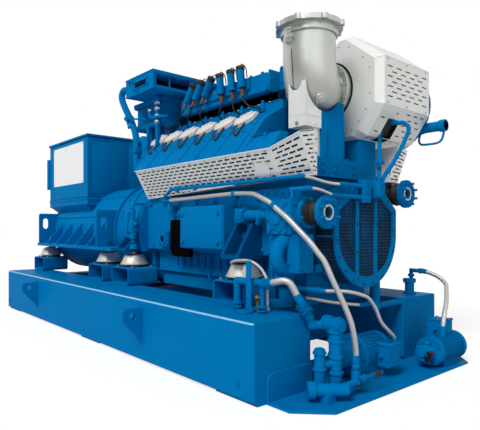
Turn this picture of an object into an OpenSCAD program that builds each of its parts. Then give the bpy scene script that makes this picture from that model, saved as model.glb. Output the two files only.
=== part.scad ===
// Gas generator set: a vee engine and its generator in line on a skid of two beams.
// X runs along the shaft with the turbocharger end at +X, Y runs across the set and Z is up.
// The origin is on the floor, midway between the ends and between the sides.

/* [Skid] */
// Length of the two base beams
beam_l = 4130; // [4000:10:4250]
// Width of one base beam
beam_w = 425; // [400:5:440]
// Height of the beams' top face above the floor
beam_top = 425; // [380:5:480]
// Width over both beams
base_w = 1800; // [1780:10:1900]
// Radius of the beams' long edges
beam_r = 22; // [8:1:40]
// Thickness of the bearing pads and of the tray's plate
pad_t = 12; // [8:1:20]
// Length of one bearing pad
pad_l = 340; // [250:10:450]
// Length of a cross-member, along the shaft
cross_l = 200; // [120:10:220]
// Height of a cross-member
cross_h = 250; // [150:10:300]
// Drop from the beams' top to the cross-members' top
cross_drop = 55; // [30:5:90]

/* [Lifting lugs] */
// How far a lug reaches out of the beam
lug_reach = 155; // [130:5:180]
// Thickness of a lug
lug_t = 40; // [25:1:50]
// Height of a lug at its root
lug_h = 250; // [220:5:270]
// Radius of the shackle hole
lug_hole_r = 25; // [15:1:32]
// Distance of the rear lugs from the rear end of the beams
lug_rear = 975; // [800:5:1100]
// Distance between the rear and the front lugs
lug_span = 2045; // [1900:5:2200]

/* [Tray] */
// How far the tray reaches in front of the beams
tray_l = 320; // [300:5:340]
// Size of the tray's front corner cuts
tray_cut = 160; // [80:5:200]
// Height of the upstand against the near beam
upstand_h = 160; // [100:5:220]
// Length of the tray's tongue between the beams
tongue_l = 400; // [250:10:500]

/* [Flexible mounts] */
// Length of a mount stand, along the shaft
stand_l = 300; // [260:5:320]
// Width of a mount stand, across the set
stand_w = 280; // [260:5:300]
// Height of a mount stand
stand_h = 150; // [120:5:180]
// Wall of a mount stand
stand_t = 12; // [6:1:20]
// Corner radius of a mount stand
stand_r = 28; // [15:1:40]
// Distance of the mounts from the middle plane
mount_y = 475; // [470:1:485]
// Bottom radius of a mount's bell
bell_r = 105; // [95:1:110]
// Top radius of a mount's bell
bell_top_r = 74; // [50:1:78]
// Height of a mount's bell
bell_h = 90; // [70:1:110]
// Thickness of a mount's base plate
plate_t = 15; // [8:1:20]
// Free height of the stud between the bell and the foot
stud_gap = 25; // [15:1:40]
// Radius of the mount's stud
stud_r = 18; // [10:1:24]
// Thickness of the feet on the mounts
foot_t = 30; // [20:1:40]

/* [Generator] */
// Distance of the generator's frame from the rear end of the beams
gen_inset = 125; // [120:5:130]
// Length of the generator's frame
gen_l = 1567; // [1500:1:1600]
// Radius of the generator's frame
gen_r = 435; // [425:1:440]
// Height of the shaft above the feet's underside
shaft_rise = 175; // [170:1:185]
// Distance of the foot rail's outer edge from the middle plane
rail_y = 620; // [610:1:640]
// Length of the adapter between generator and flywheel housing
adapter_l = 333; // [320:1:350]
// Thickness of the generator's ribs
rib_t = 20; // [12:1:30]
// Distance between ribs along the shaft
rib_pitch = 265; // [255:1:270]
// Width of the slotted eye in an end plate
eye_w = 60; // [40:1:70]
// Height of the slotted eye in an end plate
eye_h = 120; // [90:1:140]

/* [Terminal box] */
// Length of the terminal box, along the shaft
tbox_l = 1056; // [1000:1:1080]
// Width of the terminal box
tbox_w = 900; // [880:1:920]
// Height of the terminal box below its lid
tbox_h = 640; // [600:1:680]
// Height of the box's bottom above the shaft
tbox_rise = 330; // [320:1:360]
// Height of the tapered neck under the box
neck_h = 85; // [60:1:100]
// Thickness of the lid
lid_t = 23; // [12:1:35]
// Overhang of the lid
lid_lap = 12; // [4:1:20]

/* [Engine] */
// Length of the flywheel housing
housing_l = 200; // [190:1:210]
// Radius of the flywheel housing
housing_r = 480; // [470:1:490]
// Length of the crankcase
crank_l = 1400; // [1390:1:1410]
// Half width of the crankcase
crank_y = 400; // [395:1:405]
// Height of the crankcase deck above the shaft
deck_h = 270; // [262:1:278]
// Depth of the crankcase below the shaft
skirt_h = 152; // [145:1:160]
// Half width of the oil pan
pan_y = 318; // [290:1:325]
// Half width of the valley between the banks
valley_y = 150; // [140:1:160]
// Distance between cylinders along a bank
cyl_pitch = 223; // [218:1:226]
// Number of cylinders in a bank
cyl_n = 6; // [6:1:6]
// Length of a plug cover
plug_l = 150; // [120:1:180]
// Thickness of a plug cover
plug_t = 30; // [20:1:40]

/* [Exhaust] */
// Thickness of the exhaust shields, measured across the set
shield_t = 100; // [80:1:110]
// Outside radius of the exhaust elbow
pipe_r = 162; // [150:1:170]
// Radius of the elbow's branch at the turbine
branch_r = 135; // [125:1:150]
// Drop of the elbow's heel below the turbine's middle
heel_drop = 58; // [50:1:62]
// Radius of the bore in the outlet flange
outlet_r = 150; // [130:1:152]
// Radius of the outlet's bolt circle
outlet_pcr = 198; // [192:1:202]
// Number of bolts in the outlet
outlet_n = 8; // [6:1:12]
// Radius of the outlet's bolt holes
outlet_hole_r = 11; // [8:1:13]
// Height of the outlet flange's face above the elbow's middle
outlet_rise = 317; // [300:1:330]

/* [Water connections] */
// Radius of the water flanges
wflange_r = 92; // [88:1:98]
// Radius of the water flanges' bore
wbore_r = 33; // [28:1:38]
// Radius of the bolt circle of the water flanges
wbolt_pcr = 72; // [70:1:76]
// Radius of the studs in the water flanges
wstud_r = 8; // [5:1:9]
// Length of the studs in front of the flange
wstud_l = 30; // [15:1:40]
// Thickness of the water flanges
wflange_t = 25; // [18:1:32]
// Length of the rubber bellows
bellows_l = 110; // [90:1:125]

/* [Front] */
// Length of the gear case in front of the crankcase
gear_l = 360; // [350:1:370]
// Half width of the belt guard
guard_y = 317; // [300:1:325]
// Width of the guard's band
band_w = 40; // [30:1:55]
// Depth of the guard, along the shaft
guard_l = 185; // [170:1:195]

/* [Tray equipment] */
// Radius of the oil pump's motor
motor_r = 100; // [85:1:110]
// Radius of the transfer pump's motor
motor2_r = 86; // [75:1:95]
// Length of the valve's lever from its pivot
lever_l = 180; // [120:1:185]
// Width of the valve's lever
lever_w = 22; // [14:1:30]
// Thickness of the valve's lever
lever_t = 8; // [5:1:12]
// Running clearance around the valve's stem
stem_gap = 0.3; // [0.2:0.05:1]

/* [Hoses] */
// Diameter of the long braided hose
long_hose_d = 31; // [20:1:36]
// Diameter of the thick braided hose
thick_hose_d = 40; // [30:1:46]
// Diameter of the middle braided hoses
mid_hose_d = 22; // [16:1:26]
// Diameter of the small braided hoses
small_hose_d = 19; // [12:1:22]
// Diameter of the tank's braided hose
tank_hose_d = 30; // [20:1:34]

/* [Hidden] */
$fn = 64;

BLUE = [0.0, 0.46, 0.71];
DARK_BLUE = [0.0, 0.33, 0.55];
STEEL = [0.78, 0.79, 0.77];
GREY = [0.62, 0.63, 0.61];
BLACK = [0.12, 0.1, 0.09];
WHITE = [0.95, 0.95, 0.95];

// Stations along the shaft
x_rear = -(beam_l + tray_l) / 2;
x_beam = x_rear + beam_l;
x_tray = x_beam + tray_l;
x_gen = x_rear + gen_inset;
x_gen_end = x_gen + gen_l;
x_adapter_end = x_gen_end + adapter_l;
x_engine = x_adapter_end + housing_l;
x_gear = x_engine + crank_l;
x_front = x_gear + gear_l;
x_guard = x_front + guard_l;
x_shield_end = x_front + 130;
x_exhaust = x_gear + 295;

// Heights
foot_z = beam_top + stand_h + plate_t + bell_h + stud_gap;
shaft_z = foot_z + shaft_rise;
deck_z = shaft_z + deck_h;
skirt_z = shaft_z - skirt_h;
tbox_z = shaft_z + tbox_rise;
tbox_top = tbox_z + tbox_h;

// Places across the set
beam_y = (base_w - beam_w) / 2;
beam_in = base_w / 2 - beam_w;
mount_x = [x_gen + 25, x_gen_end - 38, x_engine - 95, x_engine + 1343];

module along_x(x, l) {
    translate([x, 0, 0])
        rotate([90, 0, 90])
            linear_extrude(l)
                children();
}

module along_y(y, l) {
    translate([0, y + l, 0])
        rotate([90, 0, 0])
            linear_extrude(l)
                children();
}

module near() {
    mirror([0, 1, 0])
        children();
}

module both_sides() {
    children();
    mirror([0, 1, 0])
        children();
}

// A rectangle with round corners, centred on the origin
module round_rect(w, h, r) {
    square([w - 2 * r, h], center = true);
    square([w, h - 2 * r], center = true);
    for (sx = [-1, 1], sy = [-1, 1])
        translate([sx * (w / 2 - r), sy * (h / 2 - r)])
            circle(r);
}

// An upright slot with round ends, centred on the origin
module slot(w, h) {
    square([w, h - w], center = true);
    for (s = [-1, 1])
        translate([0, s * (h - w) / 2])
            circle(w / 2);
}

// A round bar from p to q
module rod(p, q, r, end_r) {
    v = q - p;
    translate(p)
        rotate([0, acos(v.z / norm(v)), atan2(v.y, v.x)])
            cylinder(h = norm(v), r1 = r, r2 = is_undef(end_r) ? r : end_r);
}

// ---- Skid ----

module base_beam() {
    pad_in = base_w / 2 - beam_w + beam_r;
    color(BLUE) {
        along_x(x_rear, beam_l)
            translate([beam_y, (pad_t + beam_top) / 2])
                round_rect(beam_w, beam_top - pad_t, beam_r);
        for (x = [x_rear, mount_x[2] - pad_l / 2, x_beam - pad_l])
            translate([x, pad_in, 0])
                cube([pad_l, beam_w - 2 * beam_r, pad_t]);
    }
}

module near_base_beam() {
    near() base_beam();
}

module far_base_beam() {
    base_beam();
}

module cross_members() {
    color(BLUE)
        for (x = mount_x)
            translate([x - cross_l / 2, -beam_in, beam_top - cross_drop - cross_h])
                cube([cross_l, 2 * beam_in, cross_h]);
}

module lifting_lug(x) {
    lug_z = beam_top - lug_h - 50;
    color(BLUE)
        along_x(x - lug_t / 2, lug_t)
            translate([base_w / 2, lug_z])
                difference() {
                    polygon([[0, 0], [lug_reach, 0.7 * lug_h], [lug_reach, lug_h - 18],
                             [lug_reach - 18, lug_h], [0, lug_h]]);
                    translate([0.53 * lug_reach, 0.8 * lug_h])
                        circle(lug_hole_r);
                }
}

module lifting_lugs() {
    both_sides()
        for (x = [x_rear + lug_rear, x_rear + lug_rear + lug_span])
            lifting_lug(x);
}

module front_tray() {
    y_out = base_w / 2;
    y_near = y_out - beam_w / 5;
    color(BLUE) {
        linear_extrude(pad_t)
            polygon([[x_beam, -y_near], [x_tray - tray_cut, -y_near], [x_tray, tray_cut - y_near],
                     [x_tray, y_out - tray_cut], [x_tray - tray_cut, y_out], [x_beam, y_out],
                     [x_beam, beam_in], [x_beam - tongue_l, beam_in],
                     [x_beam - tongue_l, -beam_in], [x_beam, -beam_in]]);
        along_x(x_beam, pad_t)
            difference() {
                translate([-y_near, 0])
                    square([y_near - beam_in, upstand_h]);
                translate([-y_near, upstand_h - 2 * beam_r])
                    difference() {
                        square(2 * beam_r);
                        translate([2 * beam_r, 0])
                            circle(2 * beam_r);
                    }
            }
    }
}

// ---- Flexible mounts ----

module mount_stands() {
    color(BLUE)
        both_sides()
            for (x = mount_x)
                along_y(mount_y - stand_w / 2, stand_w)
                    translate([x, beam_top + stand_h / 2])
                        difference() {
                            round_rect(stand_l, stand_h, stand_r);
                            round_rect(stand_l - 2 * stand_t, stand_h - 2 * stand_t,
                                       stand_r - stand_t);
                        }
}

module mount_bells() {
    color(STEEL)
        both_sides()
            for (x = mount_x)
                translate([x, mount_y, beam_top + stand_h]) {
                    cylinder(h = plate_t, r = bell_r + plate_t / 2);
                    translate([0, 0, plate_t])
                        cylinder(h = bell_h, r1 = bell_r, r2 = bell_top_r);
                    cylinder(h = plate_t + bell_h + stud_gap, r = stud_r);
                }
}

module mount_bolts() {
    color(BLUE)
        both_sides()
            for (x = mount_x)
                translate([x, mount_y, foot_z + foot_t]) {
                    cylinder(h = stud_r / 3, r = 2.2 * stud_r);
                    cylinder(h = 1.6 * stud_r, r = 1.7 * stud_r, $fn = 6);
                    cylinder(h = 2.6 * stud_r, r = stud_r);
                }
}

// ---- Generator ----

module shaft_circle(r) {
    translate([0, shaft_z])
        circle(r, $fn = 128);
}

module generator_frame() {
    rail_in = gen_r - 2 * foot_t;
    color(BLUE) {
        along_x(x_gen, gen_l)
            shaft_circle(gen_r);
        both_sides() {
            translate([x_gen, rail_in, foot_z])
                cube([gen_l, rail_y - rail_in, foot_t]);
            translate([x_gen_end, housing_r + plate_t, foot_z])
                cube([adapter_l - 50, rail_y - housing_r - plate_t, foot_t]);
            for (i = [1 : 5])
                along_x(x_gen + i * rib_pitch, rib_t)
                    polygon([[rail_in, foot_z + foot_t], [rail_y, foot_z + foot_t],
                             [gen_r - 5, shaft_z + 80], [rail_in, shaft_z + 80]]);
        }
    }
}

module eye_plate(x) {
    bottom = foot_z + foot_t;
    top = shaft_z + 190;
    y_mid = (gen_r + rail_y) / 2;
    color(BLUE)
        along_x(x, rib_t)
            difference() {
                union() {
                    translate([gen_r - rib_t, bottom])
                        square([rail_y - gen_r + rib_t, top - bottom - beam_r]);
                    translate([gen_r - rib_t, bottom])
                        square([rail_y - gen_r + rib_t - beam_r, top - bottom]);
                    translate([rail_y - beam_r, top - beam_r])
                        circle(beam_r);
                }
                shaft_circle(gen_r);
                translate([y_mid + rib_t, shaft_z + 75])
                    slot(eye_w, eye_h);
            }
}

module generator_eye_plates() {
    difference() {
        both_sides()
            for (x = [x_gen + 40, x_gen_end - rib_t])
                eye_plate(x);
        bolt_room();
    }
}

module generator_end_cover() {
    reach = gen_inset;
    color(BLUE) {
        along_x(x_gen - 0.64 * reach, 0.64 * reach)
            shaft_circle(gen_r - 30);
        along_x(x_gen - reach, 0.4 * reach)
            shaft_circle(gen_r / 2.4);
    }
}

module generator_adapter() {
    ring_t = 30;
    color(BLUE) {
        difference() {
            translate([x_gen_end, 0, shaft_z])
                rotate([0, 90, 0])
                    cylinder(h = adapter_l - ring_t, r1 = gen_r, r2 = housing_r - 5, $fn = 128);
            along_x(mount_x[2] - stand_l / 2 - 5, stand_l / 2)
                stand_room();
        }
        along_x(x_adapter_end - ring_t, ring_t)
            difference() {
                shaft_circle(housing_r + 12);
                stand_room();
            }
    }
}

// ---- Terminal box ----

module terminal_box() {
    x_box = x_gen - 72;
    x_box_end = x_box + tbox_l;
    taper = 90;
    collar = 60;
    color(BLUE)
        difference() {
            union() {
                translate([x_box, -tbox_w / 2, tbox_z - collar])
                    cube([tbox_l, tbox_w, tbox_h + collar]);
                intersection() {
                    along_x(x_box, tbox_l)
                        polygon([[-tbox_w / 2, tbox_z - collar], [tbox_w / 2, tbox_z - collar],
                                 [tbox_w / 2 - taper, tbox_z - collar - neck_h],
                                 [taper - tbox_w / 2, tbox_z - collar - neck_h]]);
                    along_y(-tbox_w / 2, tbox_w)
                        polygon([[x_box, tbox_z - collar], [x_box_end, tbox_z - collar],
                                 [x_box_end - taper, tbox_z - collar - neck_h],
                                 [x_box + taper, tbox_z - collar - neck_h]]);
                }
                translate([x_rear, -tbox_w / 2 - 18, tbox_z + 0.23 * tbox_h])
                    cube([x_box - x_rear, tbox_w + 36, 0.55 * tbox_h]);
            }
            along_x(x_gen, gen_l)
                shaft_circle(gen_r);
            along_x(x_rear, x_gen - x_rear)
                shaft_circle(gen_r + 5);
        }
}

module terminal_box_lid() {
    color(BLUE)
        translate([x_gen - 72 - lid_lap, -tbox_w / 2 - lid_lap, tbox_top])
            cube([tbox_l + 2 * lid_lap, tbox_w + 2 * lid_lap, lid_t]);
}

module sign_plate() {
    edge = 133;
    color(WHITE)
        translate([x_gen - 72 + edge, -tbox_w / 2 - 4, tbox_z + 0.26 * tbox_h])
            cube([tbox_l - 1.75 * edge, 4, 0.67 * tbox_h]);
}

// ---- Engine ----

shield_foot = [crank_y + 30, deck_z];
shield_top = [crank_y + 150, deck_z + 221];
shield_slope = (shield_top.x - shield_foot.x) / (shield_top.y - shield_foot.y);
slope_foot = [crank_y - 60, deck_z + 474];
slope_top = [valley_y + 30, deck_z + 567];
shelf_z = deck_z + 340;
base_z = deck_z + 66;
manifold_z = deck_z + 700;
manifold_h = 140;
manifold_y = 200;
x_manifold = x_engine + 200;
x_manifold_end = x_engine + 1295;

// Room for the mount stands at both sides of a round casting
module stand_room() {
    cut_in = mount_y - stand_w / 2 - 5;
    for (s = [-1, 1])
        translate([s * (cut_in + housing_r), foot_z - housing_r])
            square(2 * housing_r, center = true);
}

// Room for the nuts on top of the feet
module bolt_room() {
    both_sides()
        for (x = mount_x)
            translate([x, mount_y, foot_z + foot_t])
                cylinder(h = 3 * stud_r, r = 2.2 * stud_r + 5);
}

module flywheel_housing() {
    color(BLUE)
        difference() {
            along_x(x_adapter_end, housing_l)
                difference() {
                    shaft_circle(housing_r);
                    stand_room();
                }
            bolt_room();
        }
}

module crankcase() {
    color(BLUE) {
        translate([x_engine, -crank_y, skirt_z])
            cube([crank_l, 2 * crank_y, deck_z - skirt_z]);
        translate([x_engine + 60, -valley_y, deck_z])
            cube([crank_l - 130, 2 * valley_y, cooler_z - deck_z]);
        translate([x_manifold, -valley_y, deck_z])
            cube([x_gear - x_manifold - 70, 2 * valley_y, manifold_z - deck_z]);
    }
}

module oil_pan() {
    pan_z = beam_top + 5;
    step_z = skirt_z - 175;
    color(BLUE) {
        translate([x_engine + 60, -pan_y, step_z])
            cube([x_front - x_engine - 80, 2 * pan_y, skirt_z - step_z]);
        translate([x_engine + 80, -pan_y + 25, pan_z])
            cube([x_front - x_engine - 120, 2 * pan_y - 50, step_z - pan_z]);
    }
}

module engine_foot(x, face_y, top_z) {
    out = mount_y + bell_r + 20;
    color(BLUE)
        difference() {
            union() {
                translate([x - 90, face_y, foot_z])
                    cube([180, out - face_y, foot_t]);
                for (dx = [-90, 90 - foot_t])
                    along_x(x + dx, foot_t)
                        polygon([[face_y, foot_z + foot_t], [out, foot_z + foot_t],
                                 [mount_y, top_z], [face_y, top_z]]);
            }
            along_x(x_adapter_end, housing_l)
                shaft_circle(housing_r);
        }
}

module engine_feet() {
    both_sides() {
        engine_foot(mount_x[2], crank_y, shaft_z);
        engine_foot(mount_x[3], crank_y, shaft_z + 60);
    }
}

module head_covers() {
    rail = 28;
    color(BLUE)
        both_sides()
            along_x(x_engine, crank_l)
                polygon([[valley_y, deck_z], [shield_foot.x - shield_t, deck_z],
                         [shield_top.x - shield_t, shield_top.y], shield_top, slope_foot,
                         slope_top, [valley_y + rail, slope_top.y],
                         [valley_y + rail, slope_top.y + 2 * rail],
                         [valley_y, slope_top.y + 2 * rail]]);
}

module plug_covers() {
    along = slope_top - slope_foot;
    out = [-along.y, along.x] / norm(along) * -plug_t;
    first = x_engine + 13;
    color(WHITE)
        both_sides()
            for (i = [0 : cyl_n - 1])
                along_x(first + i * cyl_pitch, plug_l)
                    polygon([slope_foot, slope_top, slope_top + out, slope_foot + out]);
}

module intake_manifold() {
    cut = 42;
    color(BLUE)
        along_y(-manifold_y, 2 * manifold_y)
            polygon([[x_manifold, manifold_z], [x_manifold_end - cut, manifold_z],
                     [x_manifold_end, manifold_z + cut],
                     [x_manifold_end, manifold_z + manifold_h - cut],
                     [x_manifold_end - cut, manifold_z + manifold_h],
                     [x_manifold, manifold_z + manifold_h]]);
}

module ignition_coil(x, lean) {
    coil_r = 28;
    coil_l = 155;
    coil_y = manifold_y + 50;
    top = [x, coil_y, manifold_z + manifold_h + 70];
    axis = [sin(lean), 0, cos(lean)];
    mid = top - 0.62 * coil_l * axis;
    rod(top - coil_l * axis, top - 0.15 * coil_l * axis, coil_r);
    rod(top - 0.16 * coil_l * axis, top, coil_r + 2);
    translate([mid.x - 12, manifold_y + 10, mid.z - 15])
        cube([24, coil_y - manifold_y - 10, 30]);
}

module ignition_coils() {
    coil_x = [467, 583, 710, 802, 931, 1041];
    lean = [38, 38, 38, -8, -8, -8];
    color(BLUE)
        both_sides() {
            translate([x_engine + coil_x[0] - 110, manifold_y, manifold_z + 50])
                cube([coil_x[5] - coil_x[0] + 170, 16, 80]);
            for (i = [0 : 5])
                ignition_coil(x_engine + coil_x[i], lean[i]);
        }
}

// ---- Turbocharger and exhaust ----

elbow_y = -248;
elbow_z = deck_z + 683;
top_z = elbow_z + outlet_rise;
elbow_end = 100;
flange_stack = 75;
shield_y = elbow_end;
shield_w = 586;

heel = [x_exhaust + 15, elbow_y + 33, elbow_z - heel_drop];
branch = [x_exhaust - 88, elbow_end, elbow_z - 4];

module elbow_form(r) {
    translate([x_exhaust, elbow_y, heel.z])
        cylinder(h = top_z - flange_stack - heel.z, r = r);
    translate(heel)
        sphere(r + 13);
    rod(heel, branch - [0, 66, 0], r + 6, branch_r);
}

module exhaust_elbow() {
    color(GREY)
        difference() {
            union() {
                elbow_form(pipe_r);
                translate(branch - [0, 70, 0])
                    rotate([-90, 0, 0])
                        cylinder(h = 70, r = branch_r);
                translate(branch - [0, 40, 0])
                    rotate([-90, 0, 0])
                        cylinder(h = 40, r = branch_r + 11);
            }
            translate([x_exhaust, elbow_y, top_z - flange_stack - 110])
                cylinder(h = 120, r = outlet_r - 4);
        }
}

module lobed_plate(t) {
    lobe_r = 24;
    difference() {
        union() {
            cylinder(h = t, r = outlet_pcr + 8);
            for (i = [0 : outlet_n - 1])
                rotate([0, 0, (i + 0.5) * 360 / outlet_n])
                    translate([outlet_pcr, 0, 0])
                        cylinder(h = t, r = lobe_r);
        }
        for (i = [0 : outlet_n - 1])
            rotate([0, 0, (i + 0.5) * 360 / outlet_n])
                translate([outlet_pcr, 0, -1])
                    cylinder(h = t + 2, r = outlet_hole_r);
    }
}

module exhaust_flange() {
    color(GREY)
        translate([x_exhaust, elbow_y, top_z - flange_stack])
            difference() {
                union() {
                    cylinder(h = flange_stack, r = pipe_r + 10);
                    translate([0, 0, flange_stack - 30])
                        lobed_plate(30);
                }
                translate([0, 0, -1])
                    cylinder(h = flange_stack + 2, r = outlet_r);
            }
}

module turbine_slice(y, l, points) {
    along_y(y, l)
        translate([x_exhaust, elbow_z])
            polygon(points);
}

module turbine_form() {
    edge = 44;
    face = [[-40, 319], [15, 319], [236, 140], [236, -136], [101, -288], [65, -326],
            [-65, -326], [-101, -288], [-236, -137], [-236, 144]];
    full = [[-75, 340], [44, 340], [280, 157], [280, -145], [152, -328], [90, -342],
            [-90, -342], [-236, -137], [-236, 144]];
    hull() {
        turbine_slice(shield_y, 1, face);
        turbine_slice(shield_y + edge, 1, full);
    }
    turbine_slice(shield_y + edge, shield_w - edge, full);
}

module turbine_shield() {
    color(STEEL)
        turbine_form();
}

module compressor() {
    wheel_r = 230;
    y_back = shield_y + shield_w;
    outlet_z = elbow_z - 216;
    color(BLUE) {
        translate([x_exhaust, y_back, elbow_z])
            rotate([-90, 0, 0]) {
                cylinder(h = 120, r = wheel_r);
                cylinder(h = 200, r = wheel_r / 2);
            }
        rod([x_exhaust, y_back + 60, outlet_z], [x_exhaust + 375, y_back + 60, outlet_z], 36);
    }
}

module charge_air_duct() {
    x0 = x_manifold_end;
    leg_l = x_exhaust - 240 - x0;
    y_back = shield_y + shield_w;
    z0 = manifold_z + 10;
    h = 154;
    return_y = 380;
    return_r = 72;
    color(BLUE) {
        difference() {
            union() {
                translate([x0, -100, z0])
                    cube([leg_l, y_back + 210, h]);
                translate([x0 + leg_l, y_back, z0])
                    cube([60, 110, h]);
            }
            translate([x_exhaust, y_back - 1, elbow_z])
                rotate([-90, 0, 0])
                    cylinder(h = 202, r = 230);
        }
        rod([x_engine + 160, return_y, z0 + h / 2], [x0, return_y, z0 + h / 2], return_r);
        translate([x_engine + 130, return_y - 75, z0])
            cube([32, 155, h]);
        translate([x_engine + 105, return_y - 75, z0])
            cube([57, 25, h - 20]);
    }
}

module turbo_pedestal() {
    half = 90;
    color(BLUE)
        difference() {
            union() {
                translate([x_exhaust - half - 10, elbow_y - 50, base_z])
                    cube([2 * half + 20, 449, 119]);
                translate([x_exhaust - half, elbow_y + 13, base_z + 119])
                    cube([2 * half, 216, elbow_z - pipe_r / 2 - base_z - 180]);
                translate([x_exhaust - half, shield_y + 51, base_z])
                    cube([2 * half, 175, elbow_z - 286 - base_z]);
            }
            elbow_form(pipe_r);
            turbine_form();
        }
}

air_gap = 0.3;

module shield_slice(x, points) {
    along_x(x, 1)
        polygon(points);
}

module exhaust_shield() {
    rise = 55;
    depth = shield_t - air_gap;
    in_y = crank_y;
    x_bend = x_gear + 250;
    lift = [shield_foot.x + shield_slope * rise, shield_foot.y + rise];
    hull() {
        shield_slice(x_engine + 60, [shield_foot, shield_top, shield_top - [depth, 0],
                                     shield_foot - [depth, 0]]);
        shield_slice(x_bend - 1, [lift, shield_top, shield_top - [depth, 0],
                                  lift - [depth, 0]]);
    }
    hull() {
        shield_slice(x_bend, [lift, shield_top, shield_top - [depth, 0], lift - [depth, 0]]);
        shield_slice(x_shield_end - 1, [shield_foot + [0, rise + 2], shield_top + [0, 64],
                                        [in_y, shield_top.y + 96],
                                        [in_y, shield_foot.y + rise + 2]]);
    }
}

module exhaust_shields() {
    color(STEEL)
        both_sides()
            exhaust_shield();
}

module riser_shield() {
    box = [133, 148, 280];
    x0 = x_exhaust - 43;
    y0 = elbow_y - 139;
    neck = 57;
    color(WHITE)
        difference() {
            union() {
                translate([x0, y0, elbow_z - 324])
                    cube(box);
                translate([x0 + 13, elbow_y - 49, base_z + 119])
                    cube([box.x - 26, neck, elbow_z - 324 - base_z - 119]);
            }
            elbow_form(pipe_r + 3);
        }
}

// ---- Charge cooler and air intake ----

cooler_z = manifold_z - 60;
intake_z = manifold_z + 185;
intake_h = 152;

module mixture_cooler() {
    flange_h = 40;
    color(BLUE) {
        translate([x_engine - 370, -330, cooler_z])
            cube([500, 660, flange_h]);
        translate([x_engine - 345, -305, cooler_z + flange_h])
            cube([450, 610, intake_z - cooler_z - 2 * flange_h]);
        translate([x_engine - 370, -330, intake_z - flange_h])
            cube([500, 660, flange_h]);
    }
}

module cooler_stand() {
    post = 60;
    half = 250;
    color(BLUE)
        difference() {
            union() {
                translate([x_adapter_end + 30, -post, shaft_z])
                    cube([housing_l - 2 * post, 2 * post, cooler_z - shaft_z]);
                for (x = [x_adapter_end + 5, x_engine - post - 15], s = [-1, 1])
                    translate([x, s * half - post / 2, shaft_z])
                        cube([post, post, cooler_z - shaft_z]);
            }
            along_x(x_adapter_end, housing_l)
                shaft_circle(housing_r);
        }
}

module air_inlet_box() {
    x0 = x_adapter_end;
    l = 460;
    w = 1000;
    wall = 32;
    color(BLUE)
        difference() {
            translate([x0, -w / 2, intake_z])
                cube([l, w, intake_h]);
            along_y(-w / 2 + wall, w - 2 * wall)
                polygon([[x0 + l + 1, intake_z + wall], [x0 + l + 1, intake_z + intake_h - wall],
                         [x0 + 2 * wall, intake_z + intake_h - wall],
                         [x0 + l / 2, intake_z + wall]]);
        }
}

// ---- Swept tubes ----

// A point of a Catmull-Rom curve between b and c
function spline(a, b, c, d, t) =
    0.5 * (2 * b + (c - a) * t + (2 * a - 5 * b + 4 * c - d) * t * t
           + (3 * b - a - 3 * c + d) * t * t * t);

function at(p, i) = p[min(max(i, 0), len(p) - 1)];

// The smooth path through the points of a route
function smooth_path(p, steps) = [
    for (i = [0 : len(p) - 2], k = [0 : steps - 1])
        spline(at(p, i - 1), p[i], p[i + 1], at(p, i + 2), k / steps),
    p[len(p) - 1]
];

function unit(v) = v / norm(v);

function tangent(p, i) = unit(at(p, i + 1) - at(p, i - 1));

// Carries the side vector of a ring on to the next ring
function carried(p, i, side) =
    let (t = tangent(p, i))
    unit(side - (side * t) * t);

function sides(p, i = 0, side = [0.31, 0.94, 0.12]) =
    i == len(p)
        ? []
        : let (s = carried(p, i, side))
          concat([s], sides(p, i + 1, s));

module tube(points, d, n = 10, steps = 3) {
    path = smooth_path(points, steps);
    side = sides(path);
    rings = len(path);
    ring = [
        for (i = [0 : rings - 1], k = [0 : n - 1])
            let (u = side[i], v = cross(tangent(path, i), u), a = k * 360 / n)
            path[i] + d / 2 * (cos(a) * u + sin(a) * v)
    ];
    walls = [
        for (i = [0 : rings - 2], k = [0 : n - 1])
            let (m = (k + 1) % n)
            [i * n + k, (i + 1) * n + k, (i + 1) * n + m, i * n + m]
    ];
    first = [for (k = [0 : n - 1]) k];
    last = [for (k = [n - 1 : -1 : 0]) (rings - 1) * n + k];
    polyhedron(ring, concat(walls, [first], [last]));
}

module breather_pipe() {
    color(BLUE)
        tube([[x_adapter_end - 0.3, -440, 2140], [x_engine - 280, -440, 2140],
              [x_engine - 355, -440, 2145], [x_engine - 390, -440, 2090],
              [x_engine - 330, -440, 1990], [x_engine - 200, -440, 1830],
              [x_engine - 130, -440, 1700], [x_engine - 120, -440, 1550],
              [x_engine - 112, -440, 1450], [x_engine - 82, -440, 1408],
              [x_engine - 40, -440, 1400], [x_engine - 1.5, -440, 1400]], 58);
}

// ---- Front of the engine ----

module front_gear_case() {
    inner = crank_y - 70;
    strip = crank_y - 20;
    color(BLUE) {
        translate([x_gear, -crank_y, skirt_z])
            cube([gear_l, 2 * crank_y, deck_z - skirt_z]);
        translate([x_gear, -inner, deck_z])
            cube([gear_l, 2 * inner, base_z - deck_z]);
        along_x(x_gear, 155)
            polygon([[-inner, deck_z], [inner, deck_z],
                     [shield_top.x - shield_t, shield_top.y], shield_top,
                     [crank_y + 50, shelf_z], [-crank_y - 50, shelf_z],
                     [-shield_top.x, shield_top.y],
                     [shield_t - shield_top.x, shield_top.y]]);
        both_sides()
            along_x(x_gear + 155, 95)
                polygon([[strip, deck_z + 221 - (shield_top.x - shield_t - strip) / shield_slope],
                         [shield_top.x - shield_t, shield_top.y], shield_top,
                         [crank_y + 50, shelf_z], [strip, shelf_z]]);
    }
}

guard_low = shaft_z - 340;
guard_round = guard_low + guard_y;
guard_side = shaft_z + 140;
guard_top = shaft_z + 250;

// Half-round at the bottom, straight sides and cut corners at the top
module guard_outline(inset) {
    w = guard_y - inset;
    translate([0, guard_round])
        circle(w, $fn = 128);
    polygon([[-w, guard_round], [w, guard_round], [w, guard_side - inset / 2],
             [w - 130, guard_top - inset], [130 - w, guard_top - inset],
             [-w, guard_side - inset / 2]]);
}

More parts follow.
